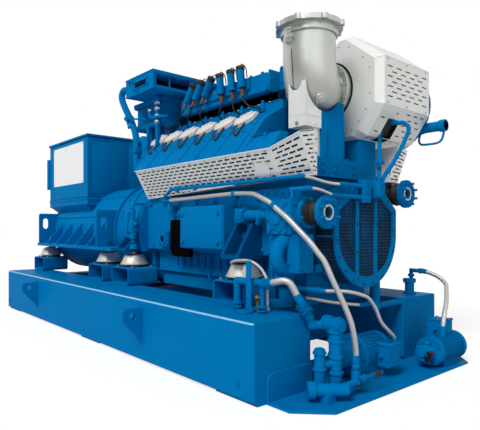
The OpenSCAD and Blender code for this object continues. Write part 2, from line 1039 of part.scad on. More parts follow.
module front_guard() {
    plate = 12;
    back = 30;
    bar_w = 26;
    color(BLUE) {
        along_x(x_guard - plate, plate)
            difference() {
                guard_outline(0);
                guard_outline(band_w);
            }
        along_x(x_front, back)
            difference() {
                guard_outline(0);
                guard_outline(band_w);
            }
        for (s = [-1, 1]) {
            translate([x_guard - plate, s * 95 - bar_w / 2, guard_low + band_w])
                cube([plate, bar_w, guard_top - guard_low - 2 * band_w + 2]);
            for (z = [guard_round, guard_side - band_w])
                translate([x_front, s * (guard_y - 8) - 8, z - 8])
                    cube([guard_l, 16, 16]);
        }
    }
}

module guard_mesh() {
    wire = 3;
    color(BLACK) {
        along_x(x_guard - 12 - wire, wire)
            difference() {
                guard_outline(18);
                translate([0, shaft_z])
                    circle(1);
            }
        along_x(x_front + 30, guard_l - 42 - wire)
            difference() {
                guard_outline(18);
                guard_outline(18 + wire);
            }
    }
}

module crank_damper() {
    color(DARK_BLUE) {
        along_x(x_front, 90)
            shaft_circle(90);
        along_x(x_front + 40, 80)
            shaft_circle(235);
    }
}

// ---- Water connections ----

near_water = [x_guard + 32, -crank_y - 7, shaft_z + 112];
far_water = [x_guard + 32, crank_y + 7, deck_z - 20];

module water_flange_at(p) {
    translate(p)
        rotate([0, -90, 0])
            difference() {
                union() {
                    cylinder(h = wflange_t, r = wflange_r);
                    for (i = [0 : 7])
                        rotate([0, 0, 22.5 + i * 45])
                            translate([wbolt_pcr, 0, -wstud_l])
                                cylinder(h = wstud_l + 1, r = wstud_r);
                }
                translate([0, 0, -1])
                    cylinder(h = wflange_t + 2, r = wbore_r);
            }
}

module water_flanges() {
    color(BLUE) {
        water_flange_at(near_water);
        water_flange_at(far_water);
    }
}

module water_bellows() {
    color(BLACK)
        for (p = [near_water, far_water])
            translate([p.x - wflange_t, p.y, p.z])
                rotate([0, -90, 0])
                    cylinder(h = bellows_l, r = 0.7 * wflange_r);
}

module water_pipes() {
    start = near_water.x - wflange_t - bellows_l;
    pump_y = 480;
    pump_r = 85;
    color(BLUE) {
        for (p = [near_water, far_water]) {
            translate([start, p.y, p.z])
                rotate([0, -90, 0])
                    cylinder(h = wflange_t, r = p.y < 0 ? wflange_r - 2 : 0.8 * wflange_r);
            rod([start - wflange_t, p.y, p.z], [x_front, p.y, p.z], 45);
        }
        translate([x_front - 140, -crank_y - 140, shaft_z - 10])
            cube([195, 140, 200]);
        translate([x_front - 140, -crank_y - 120, shaft_z - 230])
            cube([240, 120, 220]);
        rod([x_engine + 1330, -pump_y, shaft_z + 105], [x_front - 140, -pump_y, shaft_z + 105], 32);
        translate([x_engine + 1300, -pump_y - 40, shaft_z + 60])
            cube([60, pump_y + 40 - crank_y, 90]);
    }
}

// ---- Side of the crankcase ----

module side_covers() {
    color(BLUE)
        both_sides()
            translate([x_engine + 681, crank_y, shaft_z - 123])
                cube([500, 120, 303]);
}

module starter_housing() {
    color(BLACK)
        near()
            translate([x_engine + 407, crank_y, shaft_z - 152])
                cube([270, 34, 240]);
}

// ---- Equipment on the tray ----

pump_at = [x_beam + 25, -20, pad_t + 38 + motor_r];
column_at = [x_beam + 145, -440];
union_z = 385;
valve_at = [x_tray - 100, -360, 110];
lever_x = valve_at.x + 46;

module foot_block(x, y, w, l, top) {
    translate([x - w / 2, y - l / 2, pad_t])
        cube([w, l, top - pad_t]);
}

module oil_pump() {
    z = pump_at.z;
    body_y = pump_at.y - 140;
    elbow_top = [x_beam + 31, -527, 422];
    elbow_low = [x_beam + 35, -500, 374];
    color(BLUE) {
        translate([pump_at.x, body_y + 25, z])
            rotate([-90, 0, 0])
                cylinder(h = 250, r = motor_r);
        translate([pump_at.x, body_y, z])
            rotate([-90, 0, 0])
                cylinder(h = 25, r = motor_r + 25);
        translate([pump_at.x, body_y - 130, z])
            rotate([-90, 0, 0])
                cylinder(h = 130, r = 0.6 * motor_r);
        foot_block(pump_at.x, pump_at.y + 10, 1.5 * motor_r, 180, z - 0.5 * motor_r);
        translate([pump_at.x + 0.8 * motor_r, pump_at.y + 10, z - 70])
            cube([90, 120, 130]);
        translate([column_at.x, column_at.y, pad_t])
            cylinder(h = union_z - pad_t, r = 36);
        translate([column_at.x - 30, column_at.y - 95, pad_t])
            cylinder(h = 250, r = 30);
        rod([column_at.x - 30, column_at.y - 95, 180], [column_at.x, column_at.y, 180], 22);
        rod([column_at.x, column_at.y, 120], [pump_at.x, body_y - 80, z], 24);
        rod([x_beam + 70, column_at.y, union_z], [column_at.x + 48, column_at.y, union_z], 36);
        rod([1918.5, -559, 490], elbow_top, 26);
        for (p = [elbow_top, elbow_low])
            translate(p)
                sphere(r = 29);
        rod(elbow_top, elbow_low, 25);
        rod(elbow_low, [x_beam + 80, column_at.y - 8, union_z - 10], 24);
    }
}

module transfer_pump() {
    z = pad_t + 14 + motor2_r;
    x = x_tray - 110;
    y = 430;
    color(BLUE) {
        translate([x, y - 70, z])
            rotate([-90, 0, 0])
                cylinder(h = 70, r = 0.55 * motor2_r);
        translate([x, y, z])
            rotate([-90, 0, 0])
                cylinder(h = 20, r = motor2_r + 6);
        translate([x, y + 20, z])
            rotate([-90, 0, 0])
                cylinder(h = 300, r = motor2_r);
        translate([x - 95, y + 155, z + 0.7 * motor2_r])
            cube([115, 115, 115]);
        foot_block(x, y + 160, 1.5 * motor2_r, 180, z - 0.5 * motor2_r);
        translate([x + 28, y + 120, z])
            cylinder(h = 104, r = 16);
    }
}

module oil_strainer() {
    far_end = [valve_at.x + 45, valve_at.y - 130, 74];
    near_end = far_end - [130, 165, 0];
    mid = (far_end + near_end) / 2;
    color(BLUE) {
        rod(near_end, far_end, 33);
        rod(near_end, near_end + [24, 30, 0], 45);
        rod(far_end - [40, 50, 0], [valve_at.x, valve_at.y, 74], 20);
        foot_block(mid.x, mid.y, 60, 60, 60);
        translate([valve_at.x, valve_at.y, 50])
            cylinder(h = 90, r = 26);
        translate([valve_at.x, valve_at.y, 50])
            cylinder(h = 125, r = 17);
        rod(valve_at, [lever_x + 16, valve_at.y, valve_at.z], 8 - stem_gap);
        rod([lever_x + lever_t + 0.5, valve_at.y, valve_at.z],
            [lever_x + lever_t + 8, valve_at.y, valve_at.z], 15);
    }
}

module valve_lever() {
    arm_w = lever_w;
    color(BLUE)
        along_x(lever_x, lever_t)
            translate([valve_at.y, valve_at.z])
                difference() {
                    union() {
                        circle(arm_w);
                        translate([0, -arm_w / 2])
                            square([lever_l - arm_w / 2, arm_w]);
                        translate([lever_l - arm_w / 2, 0])
                            circle(arm_w / 2);
                    }
                    circle(8);
                }
}

module tank_fittings() {
    x_cap = x_beam - 115;
    x = x_beam - 160;
    y = beam_y + 162;
    color(BLUE) {
        translate([x_cap, beam_y + 60, beam_top])
            cylinder(h = 80, r = 32);
        translate([x_cap, beam_y + 60, beam_top + 80])
            cylinder(h = 30, r = 42);
        translate([x, y, beam_top])
            cylinder(h = 75, r = 22);
        translate([x, y, beam_top])
            cylinder(h = 176, r = 14);
        rod([x, y, beam_top + 161], [x + 79.7, y, beam_top + 161], 15);
    }
}

// ---- Oil pipes ----

pipe_y = -crank_y - 100;
gallery_z = deck_z + 47;
block_x = x_guard + 18;
feed_z = foot_z - 112;

// Rigid pipes, blocks and fittings that carry the braided hoses
module oil_pipes() {
    side = -crank_y;
    hose_y = side - 70;
    color(BLUE) {
        // gallery pipe under the shield
        rod([x_engine + 520, pipe_y, gallery_z], [x_engine + 1852, pipe_y, gallery_z], 12);
        rod([x_engine + 430, pipe_y, deck_z - 6], [x_engine + 526, pipe_y, gallery_z], 12);
        rod([x_engine + 430, side, deck_z - 6.5], [x_engine + 430, pipe_y, deck_z - 6.5], 6);
        for (x = [620, 845, 1309])
            rod([x_engine + x, side - 59.5, gallery_z], [x_engine + x, pipe_y, gallery_z], 7);
        // start and clamp of the long hose
        rod([x_engine + 372, side, deck_z - 32], [x_engine + 372, hose_y, deck_z - 32], 15);
        rod([x_engine + 360, hose_y, deck_z - 32], [x_engine + 404, hose_y, deck_z - 32], 19);
        rod([x_engine + 1251, side, deck_z - 22], [x_engine + 1251, side - 74, deck_z - 22], 8);
        // block on the guard with the ends of the small hoses
        translate([x_guard, -92, shaft_z + 177])
            cube([35, 84, 140]);
        for (end = [[-263, 1156], [-335, 1089]])
            rod([block_x, end.x, end.y], [block_x, -90, end.y], 13);
        // elbow on the water pump
        rod([x_front + 30, pipe_y, shaft_z + 190], [x_front + 30, pipe_y, shaft_z + 245], 13);
        rod([x_front + 17, pipe_y, shaft_z + 245], [x_front + 143, pipe_y, shaft_z + 245], 13);
        // feed pipe beside the front mount
        translate([x_engine + 1483, -650, beam_top])
            cylinder(h = feed_z - beam_top + 15, r = 22);
        rod([x_engine + 1483, -650, feed_z], [x_engine + 1717, -650, feed_z], 21);
        translate([x_engine + 1700, -650, beam_top])
            cylinder(h = feed_z - beam_top, r = 14);
        // ends of the middle hoses
        rod([x_front - 60, side - 10, 552], [x_front - 60, side - 10, shaft_z - 230], 14);
        rod([x_front - 74, side - 10, 552], [x_front + 161, side - 10, 552], 15);
        rod([x_front - 50, 25 - pan_y, 487], [x_front - 50, -362, 487], 14);
        rod([x_front - 60, -350, 487], [x_front - 33, -350, 487], 17);
        // suction pipe at the far beam
        translate([x_beam - 25, 178, 380])
            cylinder(h = 190, r = 32);
        rod([x_beam - 25, 178, 400], [x_beam - 25, beam_in, 400], 20);
        rod([x_beam - 21, 35.5, 424], [x_beam - 25, 178, 424], 15);
    }
}

module turbo_oil_pipes() {
    color(BLUE) {
        tube([[1856.6, 270, 1518], [1862.8, 270, 1513.7], [1869, 270, 1509.4],
              [1892, 258, 1487], [1925, 215, 1452], [1962, 140, 1396], [1986, 82, 1330],
              [1990, 62, 1260], [1988, 62, guard_top + 20]], 27);
        tube([[1917.5, 317, 1605.1], [1923.7, 317, 1600.8], [1929.9, 317, 1596.5],
              [1955, 328, 1592], [1990, 340, 1588], [2022, 345, 1545], [2020, 280, 1440],
              [2010, 190, 1320], [1994, 110, 1225], [1980, 72, guard_top]], 27);
        translate([x_guard, 30, guard_top - 35])
            cube([65, 66, 100]);
    }
}

// ---- Braided hoses ----

module long_braided_hose() {
    color(STEEL)
        tube([[405, -470, 1118], [560, -472, 1119], [735, -475, 1121], [900, -480, 1124],
              [1056, -485, 1126], [1251, -490, 1128], [1380, -499, 1123], [1499, -530, 1110],
              [1582, -557, 1088], [1671, -570, 1056], [1755, -580, 1007], [1835, -588, 960],
              [1905, -585, 903], [1965, -555, 833], [2000, -530, 777], [2030, -505, 722],
              [2064, -475, 618], [2092, -430, 508], [2120, -397, 399], [2126, -372, 295],
              [2125, -361, 235], [2125, -360, 205], [2125, -360, 175.8]], long_hose_d);
}

module thick_braided_hose() {
    color(STEEL)
        tube([[1718, -650, feed_z], [1745, -650, 594], [1797, -645, 606], [1846, -630, 617],
              [1871, -612, 607], [1884, -600, 585], [1900, -580, 536], [1909, -570, 514],
              [1917, -561.5, 494]], thick_hose_d);
}

module middle_braided_hoses() {
    color(STEEL) {
        tube([[1922.5, -410, 552], [1930, -410, 552], [1938, -410, 552], [1972, -387, 553],
              [2003, -340, 552],
              [2030, -295, 546], [2048, -255, 537], [2060, -215, 524], [2070, -170, 505],
              [2076, -110, 443], [2083, -60, 356], [2086, 20, 290], [2078, 75, 255],
              [2075, 89, 235], [2075, 90, 211]], mid_hose_d);
        tube([[1728.5, -350, 487], [1736, -350, 487], [1744, -350, 487], [1765, -342, 487],
              [1810, -300, 478],
              [1832, -230, 462], [1845, -165, 450], [1871, -60, 434], [1882, 0, 426],
              [1884, 18, 424], [1884, 34.5, 424]], mid_hose_d);
    }
}

module small_braided_hoses() {
    color(STEEL) {
        tube([[1853.5, pipe_y, gallery_z], [1860, pipe_y, gallery_z],
              [1867, pipe_y, gallery_z], [1882, -482, 1191],
              [1897, -440, 1183], [1915, -390, 1170], [1938, -335, 1159], [1957, -300, 1156],
              [block_x, -280, 1156], [block_x, -264, 1156]], small_hose_d);
        tube([[1904.5, pipe_y, 1125], [1910, pipe_y, 1125], [1916, pipe_y, 1125],
              [1928, -467, 1123],
              [1938, -432, 1117], [1953, -385, 1101], [block_x - 1, -358, 1091],
              [block_x, -347, 1089], [block_x, -336, 1089]], small_hose_d);
    }
}

module tank_braided_hose() {
    color(STEEL)
        tube([[1825.6, 849.5, 586], [1845, 850, 586], [1872, 855, 580], [1906, 862, 569],
              [1950, 862, 552], [1990, 853, 530], [2028, 825, 505], [2052, 785, 480],
              [2085, 722, 430], [2108, 670, 395], [2130, 605, 345], [2143, 562, 290],
              [2143, 551, 250], [2143, 550, 217]], tank_hose_d);
}

near_base_beam();
far_base_beam();
cross_members();
lifting_lugs();
front_tray();
mount_stands();
mount_bells();
mount_bolts();
generator_frame();
generator_eye_plates();
generator_end_cover();
generator_adapter();
terminal_box();
terminal_box_lid();
sign_plate();
flywheel_housing();
crankcase();
oil_pan();
engine_feet();
head_covers();
plug_covers();
intake_manifold();
ignition_coils();
charge_air_duct();
mixture_cooler();
cooler_stand();
air_inlet_box();
breather_pipe();
exhaust_shields();
riser_shield();
exhaust_elbow();
exhaust_flange();
turbine_shield();
compressor();
turbo_pedestal();
front_gear_case();
front_guard();
guard_mesh();
crank_damper();
water_pipes();
water_bellows();
water_flanges();
side_covers();
starter_housing();
oil_pump();
transfer_pump();
oil_strainer();
valve_lever();
tank_fittings();
oil_pipes();
turbo_oil_pipes();
long_braided_hose();
thick_braided_hose();
middle_braided_hoses();
small_braided_hoses();
tank_braided_hose();
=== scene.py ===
"""Looks of a gas generator set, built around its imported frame.

Sizes are in millimetres and become metres when a piece is finished. X runs along
the shaft, Y across the set and Z is up, as in the frame.
"""

import logging
import math
from dataclasses import dataclass
from enum import Enum
from itertools import product
from typing import Iterable, Optional, Sequence, Union

import bmesh
import bpy
from mathutils import Matrix, Vector


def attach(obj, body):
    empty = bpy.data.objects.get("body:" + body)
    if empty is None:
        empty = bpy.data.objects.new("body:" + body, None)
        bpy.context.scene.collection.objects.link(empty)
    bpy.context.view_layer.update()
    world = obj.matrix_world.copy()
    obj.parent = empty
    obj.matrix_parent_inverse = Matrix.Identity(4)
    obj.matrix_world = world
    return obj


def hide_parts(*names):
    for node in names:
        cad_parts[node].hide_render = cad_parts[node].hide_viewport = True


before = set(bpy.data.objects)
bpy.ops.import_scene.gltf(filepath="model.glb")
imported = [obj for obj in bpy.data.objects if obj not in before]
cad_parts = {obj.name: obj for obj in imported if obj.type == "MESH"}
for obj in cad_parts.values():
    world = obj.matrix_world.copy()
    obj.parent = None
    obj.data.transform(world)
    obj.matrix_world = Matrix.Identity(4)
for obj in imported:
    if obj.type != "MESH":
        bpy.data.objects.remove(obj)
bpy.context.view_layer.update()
log = logging.getLogger("generator_set")

Point = Sequence[float]
MM = 0.001
ALONG = Vector((1, 0, 0))
ACROSS = Vector((0, 1, 0))
UP = Vector((0, 0, 1))
NEAR = -ACROSS
SHARP = 35.0
ROUNDED = 0.6
FLAT = 0.01
FLAT_COPY = math.radians(0.6)


class Slot(Enum):
    """The record's material slots."""

    PAINT = "blue_paint"
    SHEET = "stainless_sheet"
    CASTING = "grey_casting"
    CAP = "white_cap"
    PLATE = "white_plate"
    RUBBER = "black_rubber"
    HOUSING = "dark_housing"
    MESH = "dark_mesh"
    BRAID = "braided_steel"


class Body(Enum):
    """The bodies that pieces ride on."""

    SET = "genset"
    LEVER = "lever"


class Axis(Enum):
    """The direction in which an outline is drawn out."""

    X = 0
    Y = 1
    Z = 2


def turned(axis: Point) -> Matrix:
    """Returns the turn that lays +Z along an axis."""
    return Vector(axis).to_track_quat("Z", "Y").to_matrix().to_4x4()


def smooth_route(points: Sequence[Point], steps: int = 3) -> list[Vector]:
    """Runs a smooth curve through the points of a route.

    Args:
        points: The points that the curve passes.
        steps: How many pieces the stretch between two points is cut into.

    Returns:
        The points of the curve.
    """
    knots = [Vector(p) for p in points]
    last = len(knots) - 1
    curve: list[Vector] = []
    for i in range(last):
        a, b = knots[max(i - 1, 0)], knots[i]
        c, d = knots[i + 1], knots[min(i + 2, last)]
        for k in range(steps):
            t = k / steps
            curve.append(0.5 * (2 * b + (c - a) * t + (2 * a - 5 * b + 4 * c - d) * t * t
                                + (3 * b - a - 3 * c + d) * t ** 3))
    curve.append(knots[last])
    return curve


def route_length(curve: Sequence[Vector]) -> float:
    """Returns the length of a curve."""
    return sum((b - a).length for a, b in zip(curve, curve[1:]))


class Form:
    """A mesh under construction, in millimetres."""

    def __init__(self) -> None:
        """Starts with nothing."""
        self.bm = bmesh.new()

    def _soften(self, verts: Iterable, width: float, segments: int = 2) -> None:
        """Rounds the sharp edges among some vertices.

        Args:
            verts: Vertices of one shape.
            width: Width of the rounding; nothing is done at zero.
            segments: Faces across the rounding.
        """
        if width <= 0:
            return
        edges = {e for v in verts for e in v.link_edges
                 if len(e.link_faces) == 2 and e.calc_face_angle(0) > ROUNDED}
        bmesh.ops.bevel(self.bm, geom=list(edges), offset=width, segments=segments,
                        profile=0.5, affect="EDGES", material=-1, clamp_overlap=True)

    def block(self, low: Point, high: Point, soft: float = 2.0, lean: Optional[Matrix] = None) -> None:
        """Adds a box with soft edges.

        Args:
            low: Lowest corner.
            high: Highest corner.
            soft: Width of the rounded edges.
            lean: A turn about the box's own middle.
        """
        a, b = Vector(low), Vector(high)
        place = Matrix.Translation((a + b) / 2) @ (lean or Matrix())
        made = bmesh.ops.create_cube(self.bm, size=1.0, matrix=place @ Matrix.Diagonal((*(b - a), 1)))
        self._soften(made["verts"], soft)

    def bar(self, start: Point, end: Point, radius: float, sides: int = 20, soft: float = 0.0,
            end_radius: Optional[float] = None) -> None:
        """Adds a round bar or a cone between two points.

        Args:
            start: Middle of the first end.
            end: Middle of the second end.
            radius: Radius at the first end.
            sides: Faces around it.
            soft: Width of the rounded rims.
            end_radius: Radius at the second end, if it differs.
        """
        a, b = Vector(start), Vector(end)
        made = bmesh.ops.create_cone(
            self.bm, cap_ends=True, segments=sides, radius1=radius,
            radius2=radius if end_radius is None else end_radius, depth=(b - a).length,
            matrix=Matrix.Translation((a + b) / 2) @ turned(b - a))
        self._soften(made["verts"], soft)

    def ball(self, at: Point, radius: float, sides: int = 14) -> None:
        """Adds a ball."""
        bmesh.ops.create_uvsphere(
            self.bm, u_segments=sides, v_segments=sides // 2, radius=radius,
            matrix=Matrix.Translation(Vector(at)))

    def prism(
        self, axis: Axis, outline: Sequence[Point], start: float, end: float, soft: float = 0.0) -> None:
        """Draws a flat outline out along an axis.

        Args:
            axis: The direction that the outline is drawn along.
            outline: Corners in the other two directions, in their own order.
            start: Where the outline starts.
            end: Where it ends.
            soft: Width of the rounded edges.
        """
        verts = []
        for corner in outline:
            place = list(corner)
            place.insert(axis.value, start)
            verts.append(self.bm.verts.new(place))
        face = self.bm.faces.new(verts)
        drawn = bmesh.ops.extrude_face_region(self.bm, geom=[face])["geom"]
        moved = [v for v in drawn if isinstance(v, bmesh.types.BMVert)]
        shift = Vector((0, 0, 0))
        shift[axis.value] = end - start
        bmesh.ops.translate(self.bm, vec=shift, verts=moved)
        self._soften(verts + moved, soft)

    def lathe(self, at: Point, axis: Point, profile: Sequence[Point], sides: int = 32) -> None:
        """Turns a profile about an axis.

        Args:
            at: A point on the axis.
            axis: Direction of the axis.
            profile: Pairs of radius and distance along the axis, from pole to pole, or a
                closed outline when its last pair is its first.
            sides: Faces around it.
        """
        place = Matrix.Translation(Vector(at)) @ turned(axis)
        closed = tuple(profile[0]) == tuple(profile[-1])
        pairs = profile[:-1] if closed else profile
        verts = [self.bm.verts.new(place @ Vector((r, 0, h))) for r, h in pairs]
        ends = zip(verts, verts[1:] + verts[:1]) if closed else zip(verts, verts[1:])
        edges = [self.bm.edges.new(pair) for pair in ends]
        before = set(self.bm.verts) - set(verts)
        bmesh.ops.spin(self.bm, geom=verts + edges, cent=Vector(at), axis=place.to_3x3() @ UP,
                       angle=math.tau, steps=sides, use_merge=True)
        made = [v for v in self.bm.verts if v not in before]
        bmesh.ops.remove_doubles(self.bm, verts=made, dist=0.01)

    def tube(self, route: Sequence[Point], radius: Union[float, Sequence[float]],
             sides: int = 10, mapped: bool = False) -> "Form":
        """Sweeps a round section along a route.

        Args:
            route: The points that the middle of the section passes.
            radius: One radius, or one for each point.
            sides: Faces around it.
            mapped: Lays a UV map on it, around and along in steps of one diameter.

        Returns:
            This form.
        """
        path = [Vector(p) for p in route]
        last = len(path) - 1
        radii = [radius] * (last + 1) if isinstance(radius, (int, float)) else list(radius)
        headings = [(path[min(i + 1, last)] - path[max(i - 1, 0)]).normalized() for i in range(last + 1)]
        place = Matrix.Translation(path[0]) @ turned(headings[0])
        made = bmesh.ops.create_circle(self.bm, segments=sides, radius=radii[0], matrix=place)
        ring = made["verts"]
        around = {v: k for k, v in enumerate(ring)}
        walls, first = [], ring
        edges = [e for e in {e for v in ring for e in v.link_edges} if not e.link_faces]
        run = 0.0
        layer = self.bm.loops.layers.uv.verify() if mapped else None
        for i in range(1, last + 1):
            made = bmesh.ops.extrude_edge_only(self.bm, edges=edges)["geom"]
            faces = [f for f in made if isinstance(f, bmesh.types.BMFace)]
            edges = [e for e in made if isinstance(e, bmesh.types.BMEdge)]
            fresh = [v for v in made if isinstance(v, bmesh.types.BMVert)]
            old = {v for v in around if v.is_valid and v not in fresh}
            for v in fresh:
                partner = next(e.other_vert(v) for e in v.link_edges if e.other_vert(v) in old)
                around[v] = around[partner]
            turn = headings[i - 1].rotation_difference(headings[i]).to_matrix().to_4x4()
            grow = radii[i] / radii[i - 1]
            bmesh.ops.transform(
                self.bm, verts=fresh,
                matrix=Matrix.Translation(path[i]) @ turn @ Matrix.Scale(grow, 4)
                @ Matrix.Translation(-path[i - 1]))
            step = (path[i] - path[i - 1]).length / (2 * radii[i])
            if layer:
                for face in faces:
                    seam = {around[c.vert] for c in face.loops} >= {0, sides - 1}
                    for c in face.loops:
                        k = around[c.vert]
                        u = sides if seam and k == 0 else k
                        c[layer].uv = (u / sides, run + (step if c.vert in fresh else 0))
            run += step
            around = {v: around[v] for v in fresh}
            walls += faces
            ring = fresh
        self._cap(first)
        self._cap(ring)
        return self

    def _cap(self, ring: Sequence) -> None:
        """Closes the open end that some vertices lie around."""
        rim = {e for v in ring for e in v.link_edges if len(e.link_faces) == 1}
        bmesh.ops.holes_fill(self.bm, edges=list(rim), sides=0)

    def bolt(self, at: Point, axis: Point, size: float = 9.0) -> None:
        """Adds a hexagon head on its washer.

        Args:
            at: Middle of the face that it sits on.
            axis: Direction out of that face.
            size: Radius of the head over its corners.
        """
        foot, out = Vector(at), Vector(axis).normalized()
        self.bar(foot - out, foot + out * size * 0.22, size * 1.3, 10)
        self.bar(foot, foot + out * size * 0.9, size, 6, size * 0.1)

    def ring(self, at: Point, axis: Point, outer: float, inner: float, depth: float,
             sides: int = 32, soft: float = 1.0) -> None:
        """Adds a flat ring.

        Args:
            at: Middle of its first face.
            axis: Direction in which it has its depth.
            outer: Outer radius.
            inner: Radius of the bore.
            depth: Its depth.
            sides: Faces around it.
            soft: Width of the cut corners.
        """
        self.lathe(at, axis, [
            (inner, 0), (outer - soft, 0), (outer, soft), (outer, depth - soft), (outer - soft, depth),
            (inner, depth), (inner, 0)], sides)

    def pipe(self, points: Sequence[Point], radius: float, sides: int = 8, steps: int = 4) -> None:
        """Sweeps a round section along the smooth curve through some points."""
        self.tube(smooth_route(points, steps), radius, sides)

    def bolts(self, xs: Point, ys: Point, zs: Point, axis: Point, size: float) -> None:
        """Adds a bolt wherever places along, across and up the set meet."""
        for at in product(xs, ys, zs):
            self.bolt(at, axis, size)

    def bolt_circle(
        self, at: Point, axis: Point, radius: float, count: int, size: float, start: float = 0.0,
        sweep: float = 360.0) -> None:
        """Adds bolts on a circle.

        Args:
            at: Middle of the circle, on the face that the bolts sit on.
            axis: Direction out of that face.
            radius: Radius of the circle.
            count: Number of bolts.
            size: Radius of a head.
            start: Angle of the first bolt in degrees.
            sweep: Angle that the bolts are spread over.
        """
        turn = turned(axis)
        for i in range(count):
            a = math.radians(start + sweep * i / count)
            arm = turn @ Vector((radius * math.cos(a), radius * math.sin(a), 0))
            self.bolt(Vector(at) + arm, axis, size)

    def slotted(
        self, corners: Sequence[Point], rows: int, columns: int, slot: Point, edge: Point = (0.02, 0.05),
        thick: float = 3.0, cut: Optional[tuple[Point, Point]] = None) -> None:
        """Adds a sheet with staggered rows of slots.

        Args:
            corners: The sheet's corners: start and end of its foot, end and start of its top.
            rows: Number of rows of slots.
            columns: Number of slots in the first row.
            slot: Length and height of a slot.
            edge: Plain margin at the ends and along the foot and top, as shares.
            thick: Thickness of the sheet.
            cut: A point and a direction; what lies beyond that plane is cut away.
        """
        a, b, c, d = (Vector(p) for p in corners)
        long = ((b - a).length + (c - d).length) / 2
        high = ((d - a).length + (c - b).length) / 2
        pitch, rise = (1 - 2 * edge[0]) / columns, (1 - 2 * edge[1]) / rows
        before = set(self.bm.verts)
        bands = [(0.0, edge[1], False)] if edge[1] else []
        bands += [(edge[1] + r * rise, edge[1] + (r + 1) * rise, True) for r in range(rows)]
        bands += [(1 - edge[1], 1.0, False)] if edge[1] else []
        holes: list = []
        for number, (low, top, open_) in enumerate(bands, 0 if edge[1] == 0 else 1):
            shift = 0.5 * (number % 2)
            count = columns - (number % 2)
            stops = [edge[0] + (i + shift) * pitch for i in range(count + 1)]
            us = [0.0] + [u for u in stops if 0 < u < 1] + [1.0] if open_ else [0.0, 1.0]
            made = bmesh.ops.create_grid(self.bm, x_segments=len(us) - 1, y_segments=1, size=1.0)["verts"]
            for v in made:
                u = us[round((v.co.x + 1) / 2 * (len(us) - 1))]
                v.co = Vector((u, top if v.co.y > 0 else low, 0))
            if open_:
                holes += [f for f in {f for v in made for f in v.link_faces}
                          if stops[0] < f.calc_center_median().x < stops[-1]]
        bmesh.ops.inset_individual(self.bm, faces=holes, thickness=0.001)
        half = Vector((slot[0] / long / 2, slot[1] / high / 2, 0))
        for face in holes:
            mid = face.calc_center_median()
            for v in face.verts:
                side = v.co - mid
                v.co = mid + Vector((math.copysign(half.x, side.x), math.copysign(half.y, side.y), 0))
        bmesh.ops.delete(self.bm, geom=holes, context="FACES_ONLY")
        fresh = [v for v in self.bm.verts if v not in before]
        for v in fresh:
            u, w = v.co.x, v.co.y
            v.co = (a * (1 - u) + b * u) * (1 - w) + (d * (1 - u) + c * u) * w
        faces = list({f for v in fresh for f in v.link_faces})
        if cut:
            geom = fresh + faces + list({e for f in faces for e in f.edges})
            bmesh.ops.bisect_plane(
                self.bm, geom=geom, dist=0.01, plane_co=Vector(cut[0]), plane_no=Vector(cut[1]),
                clear_outer=True)
            faces = list({f for v in self.bm.verts if v not in before for f in v.link_faces})
        self.bm.normal_update()
        bmesh.ops.solidify(self.bm, geom=faces, thickness=thick)

    def plate(self, corners: Sequence[Point], thick: float = 2.5, hole: Sequence[Point] = ()) -> None:
        """Adds a flat sheet, with a hole in it where one is given.

        Args:
            corners: The sheet's corners.
            thick: Its thickness.
            hole: Points round the hole.
        """
        verts, edges = [], []
        for loop in (corners, hole):
            ring = [self.bm.verts.new(p) for p in loop]
            edges += [self.bm.edges.new(pair) for pair in zip(ring, ring[1:] + ring[:1])]
            verts += ring
        bmesh.ops.triangle_fill(self.bm, edges=edges, use_beauty=True)
        bmesh.ops.dissolve_limit(self.bm, angle_limit=FLAT, verts=verts, edges=edges)
        faces = list({f for v in verts if v.is_valid for f in v.link_faces})
        self.bm.normal_update()
        bmesh.ops.solidify(self.bm, geom=faces, thickness=thick)

    def hull(self, points: Sequence[Point]) -> None:
        """Adds the tightest skin round some points."""
        verts = [self.bm.verts.new(p) for p in points]
        bmesh.ops.convex_hull(self.bm, input=verts, use_existing_faces=False)

    def mirrored(self) -> "Form":
        """Adds the same on the other side of the middle plane.

        Returns:
            This form.
        """
        geom = self.bm.verts[:] + self.bm.edges[:] + self.bm.faces[:]
        copy = bmesh.ops.duplicate(self.bm, geom=geom)["geom"]
        verts = [v for v in copy if isinstance(v, bmesh.types.BMVert)]
        faces = [f for f in copy if isinstance(f, bmesh.types.BMFace)]
        bmesh.ops.scale(self.bm, vec=(1, -1, 1), verts=verts)
        bmesh.ops.reverse_faces(self.bm, faces=faces)
        return self

    def piece(self, name: str, finish: "Finish", body: Body = Body.SET,
              replaces: Sequence[str] = (), sharp: float = SHARP) -> bpy.types.Object:
        """Finishes the mesh as a piece of the set.

        Args:
            name: The piece's name.
            finish: What it is made of.
            body: The body that it rides on.
            replaces: The frame's nodes that it stands for.
            sharp: Angle in degrees past which an edge stays sharp.

        Returns:
            The piece.
        """
        bmesh.ops.scale(self.bm, vec=(MM, MM, MM), verts=self.bm.verts)
        bmesh.ops.recalc_face_normals(self.bm, faces=self.bm.faces)
        mesh = bpy.data.meshes.new(name)
        self.bm.to_mesh(mesh)
        self.bm.free()
        return settle(mesh, name, finish, body, replaces, sharp)


